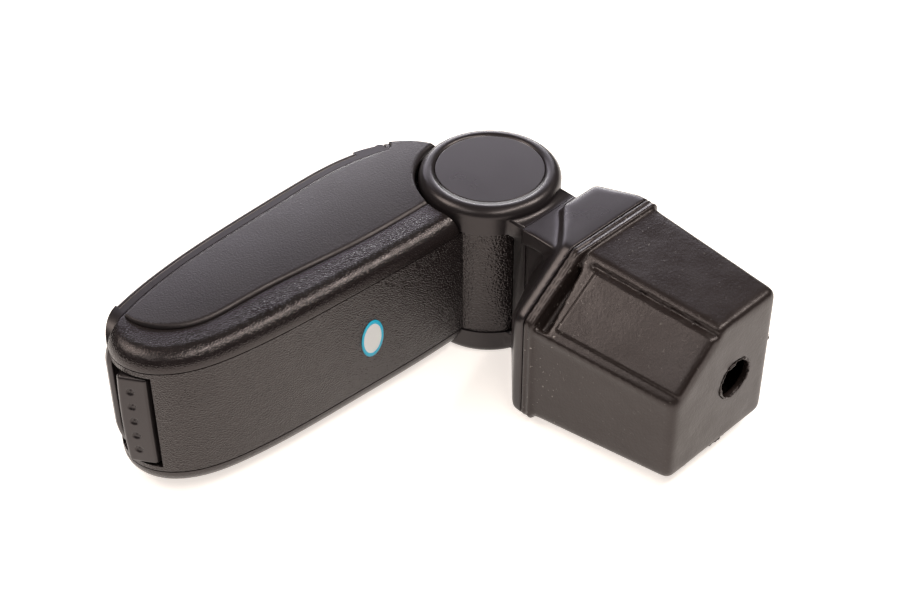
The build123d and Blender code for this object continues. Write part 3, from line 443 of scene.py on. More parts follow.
def rounded_outline(outline, radius, step):
    """Points and outward directions round a polygon with rounded corners."""
    arc_steps = 6
    points = []
    for i, corner in enumerate(outline):
        before = (outline[i - 1] - corner).normalized()
        after = (outline[(i + 1) % len(outline)] - corner).normalized()
        half = before.angle(after) / 2
        centre = corner + (before + after).normalized() * radius / math.sin(half)
        start = corner + before * radius / math.tan(half) - centre
        end = corner + after * radius / math.tan(half) - centre
        for k in range(arc_steps + 1):
            out = start.slerp(end, k / arc_steps).normalized()
            points.append((centre + out * radius, out))
    filled = []
    for (here, out), (there, _) in zip(points, points[1:] + points[:1]):
        count = max(1, round((there - here).length / step))
        filled += [(here.lerp(there, k / count), out) for k in range(count)]
    return filled


def add_bar(target, outline, low, high, radius, step, place):
    """A bar along Z with rounded edges and ends, each point set by a place function."""
    section = rounded_outline(outline, radius, step)
    count = round((high - low) / step)
    loops = []
    for i in range(count + 1):
        z = low + (high - low) * i / count
        end = min(z - low, high - z, radius)
        inset = radius - math.sqrt(radius**2 - (radius - end) ** 2)
        loops.append(
            [target.verts.new(place(point - out * inset, out, z)) for point, out in section]
        )
    for one, two in zip(loops, loops[1:]):
        for i in range(len(section)):
            target.faces.new((one[i - 1], one[i], two[i], two[i - 1]))
    target.faces.new(loops[0])
    target.faces.new(loops[-1])


def cut(shape, place, across, **sides):
    """Cut a bmesh by a plane."""
    whole = shape.verts[:] + shape.edges[:] + shape.faces[:]
    bmesh.ops.bisect_plane(shape, geom=whole, plane_co=place, plane_no=across, dist=1e-7, **sides)


class ARMREST_OT_finishes(Operator):
    """Give every CAD node the material that the real piece is made of"""

    bl_idname = "armrest.finishes"
    bl_label = "Finish CAD nodes"

    def execute(self, context):
        colours = context.scene.armrest_colours
        sizes = context.scene.armrest_sizes
        black, metal = {"specular_tint": WARM}, {"metallic": 1.0}
        rolled = {"metallic": 1.0, "stretch": (1.0, 12.0, 0.4)}
        cover, barrel = grain(sizes.cover_grain), grain(sizes.barrel_grain)
        # name, colour, patches, their roughness, relief, its strength and depth, sockets, nodes
        for *look, sockets, nodes in (
            # ABS from an etched tool: leather grain, half glossy, breaks highlights into specks
            ("grained ABS", colours.grained, 14, (0.2, 0.27), cover, 0.8, 0.09, black,
             ("left_side_cover", "right_side_cover")),
            ("deep grained ABS", colours.grained, 14, (0.2, 0.27), cover, 0.8, 0.24, black,
             ("tray_shell",)),
            ("coarse grained ABS", colours.grained, 14, (0.2, 0.27), barrel, 0.8, 0.22, black,
             ("hinge_barrel",)),
            # ABS from a spark-eroded tool: even and matte; its pits are about 0.3 mm and are
            # drawn at 1.2 mm so that they show
            ("matte ABS", colours.inlay, 20, (0.38, 0.46), pits(1.2, 2.0), 0.6, 0.2, black,
             ("left_side_inlay", "right_side_inlay")),
            # ABS from a smooth tool: satin, with slow flow marks and hardly any texture
            ("satin ABS", colours.satin, 25, (0.27, 0.34), pits(0.7, 1.0), 0.18, 0.06, black,
             ("hinge_fork", "left_hinge_cap", "right_hinge_cap", "lid_frame", "latch_button")),
            # polypropylene from a coarse tool: uneven skin, greasy patches, pale scuffed specks
            ("rough polypropylene", colours.rough, 18, (0.3, 0.4), coarse_skin, 0.6, 0.2, black,
             ("console_insert",)),
            # zinc plating: pale grey, slightly blotched, satin
            ("zinc plated steel", linear("b9b9b4"), 3, (0.28, 0.46), clouds, 0.15, 0.05, metal,
             ("hinge_pin", "hinge_nut", "hinge_washers", "lid_hinge_pin", "clamp_bolt",
              "clamp_washer")),
            # natural acetal: off-white, waxy, faintly cloudy
            ("natural acetal", linear("dad8cf"), 6, (0.34, 0.46), clouds, 0.1, 0.05, {},
             ("friction_discs", "barrel_bushes")),
            # rolled spring steel: darker grey, with fine marks along the strip
            ("spring steel", linear("8c8c8e"), 2, (0.22, 0.42), clouds, 0.1, 0.03, rolled,
             ("latch_spring",)),
            # turned brass: warm yellow, with fine rings from the lathe
            ("turned brass", linear("c8a558"), 4, (0.24, 0.38), rings, 0.2, 0.05, metal,
             ("threaded_sleeve",)),
        ):
            material = new_material(*look, **sockets)
            for node in nodes:
                mesh = frame["nodes"][node].data
                mesh.materials.clear()
                mesh.materials.append(material)
        add_scuffs(bpy.data.materials["rough polypropylene"], colours.rough, colours.scuff)
        return {"FINISHED"}


class ARMREST_OT_inlays(Operator):
    """Side panels with a slight crown across their width and a sloping edge to the underside"""

    bl_idname = "armrest.inlays"
    bl_label = "Crowned side panels"

    def execute(self, context):
        sizes = context.scene.armrest_sizes
        for node, outward in (("left_side_inlay", 1), ("right_side_inlay", -1)):
            mesh = self.crowned(node, outward, sizes)
            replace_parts(link_piece(mesh.name, mesh, "armrest"), node)
        return {"FINISHED"}

    def crowned(self, node, outward, sizes):
        """A panel's solid, cut into small faces and raised."""
        low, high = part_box(node)
        panel = merged_copy(node)
        flat = surface_of(node)
        for axis, step in ((0, sizes.inlay_step_along), (1, sizes.inlay_step_across)):
            across = Vector((0, 0, 0))
            across[axis] = 1
            for i in range(1, int((high[axis] - low[axis]) / step)):
                place = low.copy()
                place[axis] += i * step
                cut(panel, place, across)
        middle = (low + high) / 2
        half = (high.y - low.y) / 2
        foot = low.z if outward > 0 else high.z
        for vertex in panel.verts:
            share = (vertex.co.y - middle.y) / half
            raised = abs(vertex.co.z - foot) / (high.z - low.z)
            lift = sizes.inlay_crown * (1 - share * share)
            beside = Vector((vertex.co.x, high.y + sizes.inlay_ramp, middle.z))
            side = flat.ray_cast(beside, Vector((0, -1, 0)))[0]
            if side is not None:
                inside = ramp(side.y - vertex.co.y, 0.0, sizes.inlay_ramp)
                lift -= sizes.inlay_drop * (1 - inside)
            vertex.co.z += outward * raised * lift
        return smooth_mesh(panel, node + "_crowned", "matte ABS", 35)


class ARMREST_OT_latch_bar(Operator):
    """Finger bar of the latch with rounded edges and beaded dimples, on its hook arm"""

    bl_idname = "armrest.latch_bar"
    bl_label = "Latch bar"

    # outlines of the bar and of the solid's hook arm in millimetres, seen along the bar
    BAR = ((237.0, -19.8), (243.2, -19.8), (252.1, -32.6), (250.6, -35.6), (237.0, -35.6))
    ARM = (
        (240.0, -34.0), (240.0, -40.6), (229.0, -40.6), (229.0, -46.2),
        (230.5, -46.2), (229.0, -48.2), (226.0, -48.2), (226.0, -34.0),
    )
    ARM_HALF = 5.0
    # how much shorter the bar is than its solid, at its lower and upper end
    LOW_GAP, HIGH_GAP = 0.5, 1.5
    # radius of the bar's bow, row of dimples below the lip, and dimples on each side of the middle
    BOW = 420.0
    DIMPLE_INSET = 6.6
    OUTER_DIMPLE = 2
    BEAD_SHARE = 0.3

    def execute(self, context):
        sizes = context.scene.armrest_sizes
        low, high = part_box("latch_button")
        middle = (low.z + high.z) / 2
        outline = corners(self.BAR)
        back, foot, lip = outline[:3]
        along = (lip - foot).normalized()
        out_of_face = Vector((-along.y, along.x))
        radius = self.BOW * MM

        def place(point, out, z):
            if out.dot(out_of_face) > 0.99:
                down = (lip - point).dot(along) - self.DIMPLE_INSET * MM
                point = point - out_of_face * self.dimple(down, z - middle, sizes)
            bow = radius - math.sqrt(radius**2 - (z - middle) ** 2)
            share = (point.x - back.x) / (lip.x - back.x)
            return (point.x - bow * max(share, 0.0), point.y, z)

        bar = bmesh.new()
        start, end = low.z + self.LOW_GAP * MM, high.z - self.HIGH_GAP * MM
        add_bar(bar, outline, start, end, sizes.bar_round, sizes.bar_step, place)
        ends = []
        for side in (-1, 1):
            z = middle + side * self.ARM_HALF * MM
            ends.append([bar.verts.new((*corner, z)) for corner in corners(self.ARM)])
            bar.faces.new(ends[-1])
        for i, vertex in enumerate(ends[0]):
            bar.faces.new((ends[0][i - 1], vertex, ends[1][i], ends[1][i - 1]))
        bmesh.ops.recalc_face_normals(bar, faces=bar.faces)
        mesh = smooth_mesh(bar, "latch_bar", "satin ABS", 40)
        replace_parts(link_piece("latch_bar", mesh, "latch"), "latch_button")
        return {"FINISHED"}

    def dimple(self, down, across, sizes):
        """Depth of the dimples at a place of the front: a ball's cap with a bead in its middle."""
        nearest = round(across / sizes.dimple_pitch)
        nearest = max(-self.OUTER_DIMPLE, min(self.OUTER_DIMPLE, nearest))
        away = math.hypot(down, across - sizes.dimple_pitch * nearest)
        rest = sizes.dimple_radius - sizes.dimple_depth
        if away >= math.sqrt(sizes.dimple_radius**2 - rest**2):
            return 0.0
        bead_width = self.BEAD_SHARE * sizes.dimple_radius
        bead = sizes.bead_height * math.exp(-((away / bead_width) ** 2))
        return math.sqrt(sizes.dimple_radius**2 - away**2) - rest - bead


class ARMREST_OT_leaf_spring(Operator):
    """Leaf spring of the latch, a smooth-shaded copy of its solid that rides on the armrest"""

    bl_idname = "armrest.leaf_spring"
    bl_label = "Leaf spring"

    # share of the spring's depth that is left when the bar is pressed
    SPRING_LEFT = 0.4

    def execute(self, context):
        mesh = smooth_mesh(merged_copy("latch_spring"), "leaf_spring", "spring steel", 35)
        piece = link_piece("leaf_spring", mesh, "armrest")
        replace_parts(piece, "latch_spring")
        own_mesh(piece)
        return {"FINISHED"}


class ARMREST_OT_lid_lip(Operator):
    """Rounded lip along the front edge of the lid, above the latch bar"""

    bl_idname = "armrest.lid_lip"
    bl_label = "Lid lip"

    # in millimetres: outline seen along the lip, its ends, its straight run, and the bends past it
    LIP = ((240.0, -43.4), (246.9, -43.4), (247.9, -46.0), (246.8, -49.0), (240.0, -51.5))
    LOW, HIGH = 24.0, 97.0
    STRAIGHT_LOW, STRAIGHT_HIGH = 42.0, 84.0
    BEND_LOW, BEND_HIGH = 90.0, 40.0

    def execute(self, context):
        sizes = context.scene.armrest_sizes

        def place(point, out, z):
            below = max(self.STRAIGHT_LOW * MM - z, 0.0)
            above = max(z - self.STRAIGHT_HIGH * MM, 0.0)
            back = below**2 / (self.BEND_LOW * MM) + above**2 / (self.BEND_HIGH * MM)
            return (point.x - back, point.y, z)

        lip = bmesh.new()
        low, high = self.LOW * MM, self.HIGH * MM
        add_bar(lip, corners(self.LIP), low, high, sizes.lip_round, sizes.lip_step, place)
        bmesh.ops.recalc_face_normals(lip, faces=lip.faces)
        mesh = smooth_mesh(lip, "lid_lip", "satin ABS", 40)
        link_piece("lid_lip", mesh, "lid")
        return {"FINISHED"}


class ARMREST_OT_soft_mouldings(Operator):
    """Console insert and hood with the soft, worn edges of cheap mouldings"""

    bl_idname = "armrest.soft_mouldings"
    bl_label = "Soft mouldings"

    # places along the foot in millimetres: neck cut, hood, seam, end of the lip
    NECK_CUT = 47.0
    HOOD_START, HOOD_FULL = 50.0, 56.0
    RIM_START, RIM_END = 79.0, 82.5
    LIP_END, BODY_START = 90.0, 96.0
    # share of softening that the lip, the hole's edge, the groove and the hood's rim still get
    LIP_SHARE, HOLE_SHARE, GROOVE_SHARE, RIM_SHARE = 0.12, 0.1, 0.15, 0.1
    HOLE_NEAR, HOLE_FAR = 1.0, 5.0
    GROOVE_NEAR, GROOVE_FAR = 5.0, 10.0
    # upper and lower edge of the cut corner; a groove along the upper one stays sharp
    UPPER_EDGE = (Vector((13.7, 90.0, 106.2)), Vector((6.0, 182.0, 101.5)))
    LOWER_EDGE = (Vector((56.7, 90.0, 74.7)), Vector((43.0, 182.0, 67.5)))
    # raised panel on the cut corner: borders along the foot and from both edges, slope of its
    # sides, and how far from the corner's plane its points may lie
    PANEL_START, PANEL_END = 100.0, 188.0
    PANEL_UPPER, PANEL_LOWER = 7.0, 4.5
    PANEL_SLOPE, PANEL_REACH = 2.0, 2.0

    def execute(self, context):
        sizes = context.scene.armrest_sizes
        self.insert(sizes)
        self.fork(sizes)
        return {"FINISHED"}

    def insert(self, sizes):
        """Insert with broad round edges on its body and narrow ones on its lip."""
        start, end = (point * MM for point in self.UPPER_EDGE)
        along = (end - start).normalized()
        hole_near = HOLE_RADIUS + self.HOLE_NEAR * MM
        hole_far = HOLE_RADIUS + self.HOLE_FAR * MM

        def share(place):
            past = place - start
            beside = (past - along * past.dot(along)).length
            from_hole = math.hypot(place.x - HOLE_PLACE.x, place.z - HOLE_PLACE.z)
            return (
                rising(self.LIP_SHARE, place.y, self.LIP_END * MM, self.BODY_START * MM)
                * rising(self.HOLE_SHARE, from_hole, hole_near, hole_far)
                * rising(self.GROOVE_SHARE, beside, self.GROOVE_NEAR * MM, self.GROOVE_FAR * MM)
            )

        mesh = remeshed(merged_copy("console_insert"), "soft_insert", sizes.foot_voxel)
        soften(mesh, sizes.foot_rounds, share)
        for vertex in mesh.vertices:
            vertex.co += self.panel_rise(vertex.co, sizes)
        mesh.shade_smooth()
        mesh.materials.append(bpy.data.materials["rough polypropylene"])
        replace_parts(link_piece("soft_insert", mesh, "foot"), "console_insert")

    def panel_rise(self, place, sizes):
        """How far a point of the cut corner is raised by the panel on it."""
        first, last = self.UPPER_EDGE
        part = (place.y - first.y * MM) / ((last.y - first.y) * MM)
        upper = first.lerp(last, part) * MM
        lower = self.LOWER_EDGE[0].lerp(self.LOWER_EDGE[1], part) * MM
        across = (lower - upper).normalized()
        out = Vector((-across.z, 0, across.x))
        if abs((place - upper).dot(out)) > self.PANEL_REACH * MM:
            return Vector((0, 0, 0))
        from_upper = (place - upper).dot(across) - self.PANEL_UPPER * MM
        from_lower = (lower - place).dot(across) - self.PANEL_LOWER * MM
        from_ends = min(place.y - self.PANEL_START * MM, self.PANEL_END * MM - place.y)
        inside = ramp(min(from_upper, from_lower, from_ends), 0.0, self.PANEL_SLOPE * MM)
        return out * sizes.panel_rise * inside * inside * (3 - 2 * inside)

    def fork(self, sizes):
        """Collars and neck as in the solid, and a hood with round edges."""
        collars = smooth_mesh(self.fork_part(False), "fork_collars", "satin ABS", 35)
        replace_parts(link_piece("fork_collars", collars, "foot"), "hinge_fork")
        hood = remeshed(self.fork_part(True), "soft_hood", sizes.foot_voxel)

        def share(place):
            body = ramp(place.y, self.HOOD_START * MM, self.HOOD_FULL * MM)
            past = ramp(place.y, self.RIM_START * MM, self.RIM_END * MM)
            return body * (1 - (1 - self.RIM_SHARE) * past)

        soften(hood, sizes.hood_rounds, share)
        hood.shade_smooth()
        hood.materials.append(bpy.data.materials["satin ABS"])
        link_piece("soft_hood", hood, "foot")

    def fork_part(self, is_hood):
        """The hood's side of the cut through the fork's solid, or the other side, closed."""
        part = merged_copy("hinge_fork")
        neck, down = Vector((0, self.NECK_CUT * MM, 0)), Vector((0, 1, 0))
        cut(part, neck, down, clear_inner=is_hood, clear_outer=not is_hood)
        rim = [edge for edge in part.edges if edge.is_boundary]
        bmesh.ops.holes_fill(part, edges=rim, sides=0)
        bmesh.ops.recalc_face_normals(part, faces=part.faces)
        return part


def new_tree(name, sizes):
    """An empty Geometry Nodes tree with named sizes, numbers or vectors.

    Returns the tree, the outputs of its group input and the sizes' identifiers.
    """
    tree = bpy.data.node_groups.new(name, "GeometryNodeTree")
    for way in ("INPUT", "OUTPUT"):
        tree.interface.new_socket("Geometry", in_out=way, socket_type="NodeSocketGeometry")
    names = {}
    for size, value in sizes.items():
        kind = "NodeSocketVector" if isinstance(value, tuple) else "NodeSocketFloat"
        names[size] = tree.interface.new_socket(size, in_out="INPUT", socket_type=kind).identifier
    return tree, add_node(tree, "NodeGroupInput").outputs, names


def end_tree(tree, geometry, material):
    """Close a tree: real mesh in place of instances, and its material."""
    real = add_node(tree, "GeometryNodeRealizeInstances", {"Geometry": geometry})
    made = add_node(tree, "GeometryNodeSetMaterial", {"Geometry": real, "Material": material})
    add_node(tree, "NodeGroupOutput", {"Geometry": made})


def grown(name, points, tree, names, sizes):
    """Plain mesh that a tree makes on a mesh of points."""
    piece = placed(name, points)
    growth = piece.modifiers.new("growth", "NODES")
    growth.node_group = tree
    for size, value in sizes.items():
        growth[names[size]] = value
    mesh = plain_mesh(piece)
    bpy.data.objects.remove(piece)
    if not len(mesh.polygons):
        raise RuntimeError(name + " has no faces")
    mesh.name = name
    return mesh


class ARMREST_OT_screws(Operator):
    """Thread-forming screws with pan heads and cross recesses in place of their plain solids"""

    bl_idname = "armrest.screws"
    bl_label = "Screws"

    # shares of the head's radius, of its height, and of the thread's radius
    SHOULDER, TOP, SLOT_LENGTH, SLOT_WIDTH = 0.94, 0.62, 1.1, 0.26
    RIM, CROWN = 0.55, 0.45
    CORE, HELIX, RIDGE = 0.78, 0.8, 0.18

    def execute(self, context):
        sizes = context.scene.armrest_sizes
        head = sizes.screw_head
        middle = (CAD_BOX[0].z + CAD_BOX[1].z) / 2
        tree = names = None
        for node, axis in (("cover_screws", 2), ("barrel_screws", 0)):
            boxes = islands(node)
            seats, heads = [], []
            for foot, top in boxes:
                seat = (foot + top) / 2
                # cover screws have their heads towards the middle, barrel screws to the front
                forward = axis == 0 or seat.z < middle
                seat[axis] = top[axis] - head if forward else foot[axis] + head
                seats.append(seat)
                direction = [0.0, 0.0, 0.0]
                direction[axis] = 1.0 if forward else -1.0
                heads += direction
            points = bpy.data.meshes.new(node + "_seats")
            points.from_pydata(seats, [], [])
            attribute = points.attributes.new("head", "FLOAT_VECTOR", "POINT")
            attribute.data.foreach_set("vector", heads)
            foot, top = boxes[0]
            measures = self.measures(sizes, (top.y - foot.y) / 2, top[axis] - foot[axis] - head)
            if tree is None:
                tree, names = self.screw_tree(bpy.data.materials["zinc plated steel"], measures)
            mesh = grown(node + "_detailed", points, tree, names, measures)
            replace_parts(link_piece(mesh.name, mesh, "armrest"), node)
        return {"FINISHED"}

    def measures(self, sizes, radius, length):
        """Sizes of a screw with a head radius and a length below the head."""
        head, thread = sizes.screw_head, sizes.screw_radius
        slot_length, slot_width = self.SLOT_LENGTH * radius, self.SLOT_WIDTH * radius
        return {
            "Head radius": radius,
            "Shoulder radius": self.SHOULDER * radius,
            "Top radius": self.TOP * radius,
            "Rim height": self.RIM * head,
            "Crown height": self.CROWN * head,
            "Crown seat": (0.0, 0.0, self.RIM * head),
            "Slot along": (slot_length, slot_width, head),
            "Slot across": (slot_width, slot_length, head),
            "Slot seat": (0.0, 0.0, head),
            "Core radius": self.CORE * thread,
            "Core seat": (0.0, 0.0, -length / 2),
            "Helix radius": self.HELIX * thread,
            "Ridge radius": self.RIDGE * thread,
            "Turns": length / sizes.screw_pitch,
            "Thread seat": (0.0, 0.0, -length),
            "Length": length,
        }

    def screw_tree(self, material, measures):
        """A screw along +Z with its seat at 0, set on each point along its head direction."""
        tree, size, names = new_tree("cross recess screws", measures)

        def shape(kind, seat=None, **inputs):
            """A geometry node, moved to a seat; words stand for the tree's sizes."""
            inputs = {
                key.replace("_", " "): size[value] if isinstance(value, str) else value
                for key, value in inputs.items()
            }
            node = add_node(tree, "GeometryNode" + kind, inputs)
            if seat is None:
                return node
            moved = {"Geometry": node, "Translation": size[seat]}
            return add_node(tree, "GeometryNodeTransform", moved)

        rim = shape(
            "MeshCone", Vertices=32, Radius_Bottom="Head radius", Radius_Top="Shoulder radius",
            Depth="Rim height",
        )
        crown = shape(
            "MeshCone", "Crown seat", Vertices=32, Radius_Bottom="Shoulder radius",
            Radius_Top="Top radius", Depth="Crown height",
        )
        core = shape(
            "MeshCylinder", "Core seat", Vertices=20, Radius="Core radius", Depth="Length"
        )
        helix = shape(
            "CurveSpiral", Resolution=18, Rotations="Turns", Start_Radius="Helix radius",
            End_Radius="Helix radius", Height="Length",
        )
        ridge = shape("CurvePrimitiveCircle", Resolution=4, Radius="Ridge radius")
        thread = shape(
            "CurveToMesh", "Thread seat", Curve=helix, Profile_Curve=ridge, Fill_Caps=True
        )
        slots = tuple(
            shape("MeshCube", "Slot seat", Size=way) for way in ("Slot along", "Slot across")
        )
        recess = {"Mesh 1": crown, "Mesh 2": slots}
        recessed = add_node(tree, "GeometryNodeMeshBoolean", recess, operation="DIFFERENCE")
        screw = shape("JoinGeometry", Geometry=(rim, recessed, core, thread))
        head = add_node(
            tree, "GeometryNodeInputNamedAttribute", {"Name": "head"}, data_type="FLOAT_VECTOR"
        )
        up = {"Vector": head.outputs["Attribute"]}
        turn = add_node(tree, "FunctionNodeAlignRotationToVector", up, axis="Z")
        screws = shape("InstanceOnPoints", Points="Geometry", Instance=screw, Rotation=turn)
        end_tree(tree, screws, material)
        return tree, names


class ARMREST_OT_torn_edges(Operator):
    """Torn burr round the hole in the foot's end, and thin moulding flash on its edges"""

    bl_idname = "armrest.torn_edges"
    bl_label = "Burr and flash"

    # fins: axis, start and end along it, distance from the end face, share of the flash's height
    FINS = ((0, -9.0, 6.0, 2.0, 1.0), (2, 61.5, 66.5, 3.0, 1.4), (0, 24.0, 29.0, 2.0, 0.5))
    FIN_INSET = 7.0
    FIN_STEPS = 16
    FIN_ROOT, FIN_LEAST = 0.3, 0.05

    def execute(self, context):
        sizes = context.scene.armrest_sizes
        plastic = bpy.data.materials["rough polypropylene"]
        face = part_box("console_insert")[1].y
        width = sizes.burr_width
        measures = {"Radius": HOLE_RADIUS, "Width": width, "Bead radius": width / 2}
        tree, names = self.burr_tree(plastic, measures)
        points = bpy.data.meshes.new("hole_centre")
        points.from_pydata([(HOLE_PLACE.x, face, HOLE_PLACE.z)], [], [])
        mesh = grown("hole_burr", points, tree, names, measures)
        mesh.shade_smooth()
        link_piece("hole_burr", mesh, "foot")
        self.flash(sizes, plastic)
        return {"FINISHED"}

    def burr_tree(self, material, measures):
        """A ragged ring about Y: a circle shaken by noise, with a bead of uneven width on it."""
        tree, size, names = new_tree("torn edge", measures)
        ring, bead = (
            add_node(
                tree, "GeometryNodeCurvePrimitiveCircle",
                {"Resolution": resolution, "Radius": size[radius]},
            )
            for resolution, radius in ((220, "Radius"), (8, "Bead radius"))
        )
        place = add_node(tree, "GeometryNodeInputPosition")
        shake, swell = (
            add_node(
                tree, "ShaderNodeTexNoise",
                {"Vector": place, "W": seed, "Scale": per_metre(length), "Detail": detail},
                noise_dimensions="4D",
            )
            for seed, length, detail in ((3.0, 3 * MM, 4.0), (8.0, 5 * MM, 3.0))
        )
        middle = {0: shake.outputs["Color"], 1: (0.5, 0.5, 0.5)}
        centred = add_node(tree, "ShaderNodeVectorMath", middle, operation="SUBTRACT")
        scaled = {0: centred, "Scale": size["Width"]}
        reach = add_node(tree, "ShaderNodeVectorMath", scaled, operation="SCALE")
        ragged = add_node(tree, "GeometryNodeSetPosition", {"Geometry": ring, "Offset": reach})
        width = add_node(
            tree, "ShaderNodeMapRange",
            {"Value": swell, "From Min": 0.38, "From Max": 0.66, "To Min": 0.25, "To Max": 1.0},
        )
        along = {"Curve": ragged, "Profile Curve": bead, "Scale": width}
        rolled = add_node(tree, "GeometryNodeCurveToMesh", along)
        turned = {"Geometry": rolled, "Rotation": (math.pi / 2, 0, 0)}
        upright = add_node(tree, "GeometryNodeTransform", turned)
        each = {"Points": size["Geometry"], "Instance": upright}
        end_tree(tree, add_node(tree, "GeometryNodeInstanceOnPoints", each), material)
        return tree, names

    def flash(self, sizes, plastic):
        """Thin ragged fins where the mould's halves met, next to the floor and on the far edge."""
        moulding = bpy.data.objects["soft_insert"].data
        skin = BVHTree.FromPolygons(
            [vertex.co for vertex in moulding.vertices],
            [face.vertices for face in moulding.polygons],
        )
        low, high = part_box("console_insert")
        inset = self.FIN_INSET * MM
        fins = bmesh.new()
        for seed, (axis, first, last, from_end, share) in enumerate(self.FINS):
            start = Vector((low.x + inset, high.y - from_end * MM, low.z + inset))
            end = start.copy()
            start[axis], end[axis] = first * MM, last * MM
            along = (end - start).normalized()
            rows = []
            for i in range(self.FIN_STEPS + 1):
                part = i / self.FIN_STEPS
                foot, out, _, _ = skin.find_nearest(start.lerp(end, part))
                ragged = 0.65 + 0.7 * noise.noise(Vector((6 * part, 3.1 * seed, 0.4)))
                rise = share * sizes.flash_height * math.sin(math.pi * part) ** 0.4 * ragged
                side = out.cross(along) * sizes.flash_thickness / 2
                base = foot - out * self.FIN_ROOT * MM
                tip = foot + out * max(rise, self.FIN_LEAST * MM)
                rows.append([fins.verts.new(point) for point in (base - side, tip, base + side)])
            for one, two in zip(rows, rows[1:]):
                for a, b in ((0, 1), (1, 2), (2, 0)):
                    fins.faces.new((one[a], one[b], two[b], two[a]))
            fins.faces.new(rows[0])
            fins.faces.new(reversed(rows[-1]))
        bmesh.ops.recalc_face_normals(fins, faces=fins.faces)
        mesh = raw_mesh(fins, "moulding_flash")
        mesh.materials.append(plastic)
        link_piece("moulding_flash", mesh, "foot")


class ARMREST_OT_lid_cushion(Operator):
    """Padded leatherette top of the lid, swollen by cloth pressure from the shape of its solid"""

    bl_idname = "armrest.lid_cushion"
    bl_label = "Lid cushion"

    PRESSURE = 4.0

    def execute(self, context):
        scene = context.scene
        sizes = scene.armrest_sizes
        even = remeshed(merged_copy("lid_pad"), "lid_cushion", sizes.pad_voxel)
        cushion = placed("lid_cushion", even)
        soften(even, sizes.pad_rounds, lambda place: 1.0)
        self.swell(scene, cushion, sizes)
        rounding = cushion.modifiers.new("rounding", "SUBSURF")
        rounding.levels = 1
        rounding.render_levels = 1
        final = plain_mesh(cushion)
        cushion.modifiers.remove(rounding)
        cushion.data = final
        final.shade_smooth()
        # PVC leatherette over foam: rounded grain cells and a soft dull sheen
        cover = new_material(
            "PVC leatherette", scene.armrest_colours.leatherette, 22, (0.42, 0.56),
            grain(sizes.pad_grain), 0.6, 0.25, sheen_weight=0.05,
        )
        final.materials.append(cover)
        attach(cushion, "lid")
        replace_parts(cushion, "lid_pad")
        return {"FINISHED"}

    def swell(self, scene, cushion, sizes):
        """Blow the pad up a little, held where it is bonded to the lid's frame."""
        bonded = surface_of("lid_frame")
        held = cushion.vertex_groups.new(name="bonded")
        before = [vertex.co.copy() for vertex in cushion.data.vertices]
        for index, place in enumerate(before):
            distance = bonded.find_nearest(place)[3]
            held.add([index], 1.0 if distance < sizes.pad_voxel else 0.0, "REPLACE")
        cloth = cushion.modifiers.new("air", "CLOTH")
        cloth.settings.use_pressure = True
        cloth.settings.uniform_pressure_force = self.PRESSURE
        cloth.settings.vertex_group_mass = held.name
        cloth.settings.effector_weights.gravity = 0.0
        cloth.point_cache.frame_start = 1
        cloth.point_cache.frame_end = sizes.pad_frames
        for step in range(1, sizes.pad_frames + 1):
            scene.frame_set(step)
        swollen = plain_mesh(cushion)
        cushion.modifiers.remove(cloth)
        scene.frame_set(1)
        for vertex, place in zip(swollen.vertices, before):
            shift = vertex.co - place
            if shift.length > sizes.pad_swell:
                vertex.co = place + shift * (sizes.pad_swell / shift.length)
        cushion.vertex_groups.clear()
        cushion.data = swollen


class ARMREST_OT_lid_piping(Operator):
    """Round plastic edge along both sides of the lid, under the leatherette"""

    bl_idname = "armrest.lid_piping"
    bl_label = "Lid piping"

    # in millimetres: radius of the lid's front corners, and gaps to the lid's rear and front end
    CORNER = 20.0
    REAR_GAP, FRONT_GAP = 4.0, 12.0
    STEPS = 110
    LEVELLING = 60
    # share of the radius by which the bead is sunk below the lid's top
    SUNK = 0.8

    def execute(self, context):
        sizes = context.scene.armrest_sizes
        tops = [surface_of(node) for node in ("lid_pad", "lid_frame")]
        low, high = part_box("lid_frame")
        sunk = Vector((0, self.SUNK * sizes.piping_radius, 0))
        places, edges = [], []
        for lid_side in (-1, 1):
            run = self.run(tops, low, high, lid_side, sizes.piping_radius)
            first = len(places)
            places += [point + sunk for point in run]
            edges += [(i, i + 1) for i in range(first, len(places) - 1)]
        path = bpy.data.meshes.new("lid_edges")
        path.from_pydata(places, edges, [])
        measures = {"Radius": sizes.piping_radius}
        tree, names = self.piping_tree(bpy.data.materials["satin ABS"], measures)
        mesh = grown("lid_piping", path, tree, names, measures)
        mesh.shade_smooth()
        link_piece("lid_piping", mesh, "lid")
        return {"FINISHED"}

    def run(self, tops, low, high, lid_side, radius):
        """Points along one side of the lid, on its top and levelled."""
        corner = self.CORNER * MM
        start, end = low.x + self.REAR_GAP * MM, high.x - self.FRONT_GAP * MM
        outer = high.z if lid_side > 0 else low.z
        points = []
        for i in range(self.STEPS + 1):
            x = start + (end - start) * i / self.STEPS
            past = max(x - (high.x - corner), 0.0)
            z = outer - lid_side * (radius + corner - math.sqrt(corner**2 - past**2))
            above = Vector((x, low.y - corner, z))
            hits = [top.ray_cast(above, Vector((0, 1, 0)))[0] for top in tops]
            heights = [hit.y for hit in hits if hit is not None]
            if heights:
                points.append(Vector((x, min(heights), z)))
        for _ in range(self.LEVELLING):
            levels = [point.y for point in points]
            for before, point, after in zip(levels, points[1:-1], levels[2:]):
                point.y = (before + point.y + after) / 3
        return points

    def piping_tree(self, material, measures):
        """A round bead along every run of edges."""
        tree, size, names = new_tree("piping", measures)
        line = add_node(tree, "GeometryNodeMeshToCurve", {"Mesh": size["Geometry"]})
        circle = {"Resolution": 14, "Radius": size["Radius"]}
        bead = add_node(tree, "GeometryNodeCurvePrimitiveCircle", circle)
        along = {"Curve": line, "Profile Curve": bead, "Fill Caps": True}
        end_tree(tree, add_node(tree, "GeometryNodeCurveToMesh", along), material)
        return tree, names


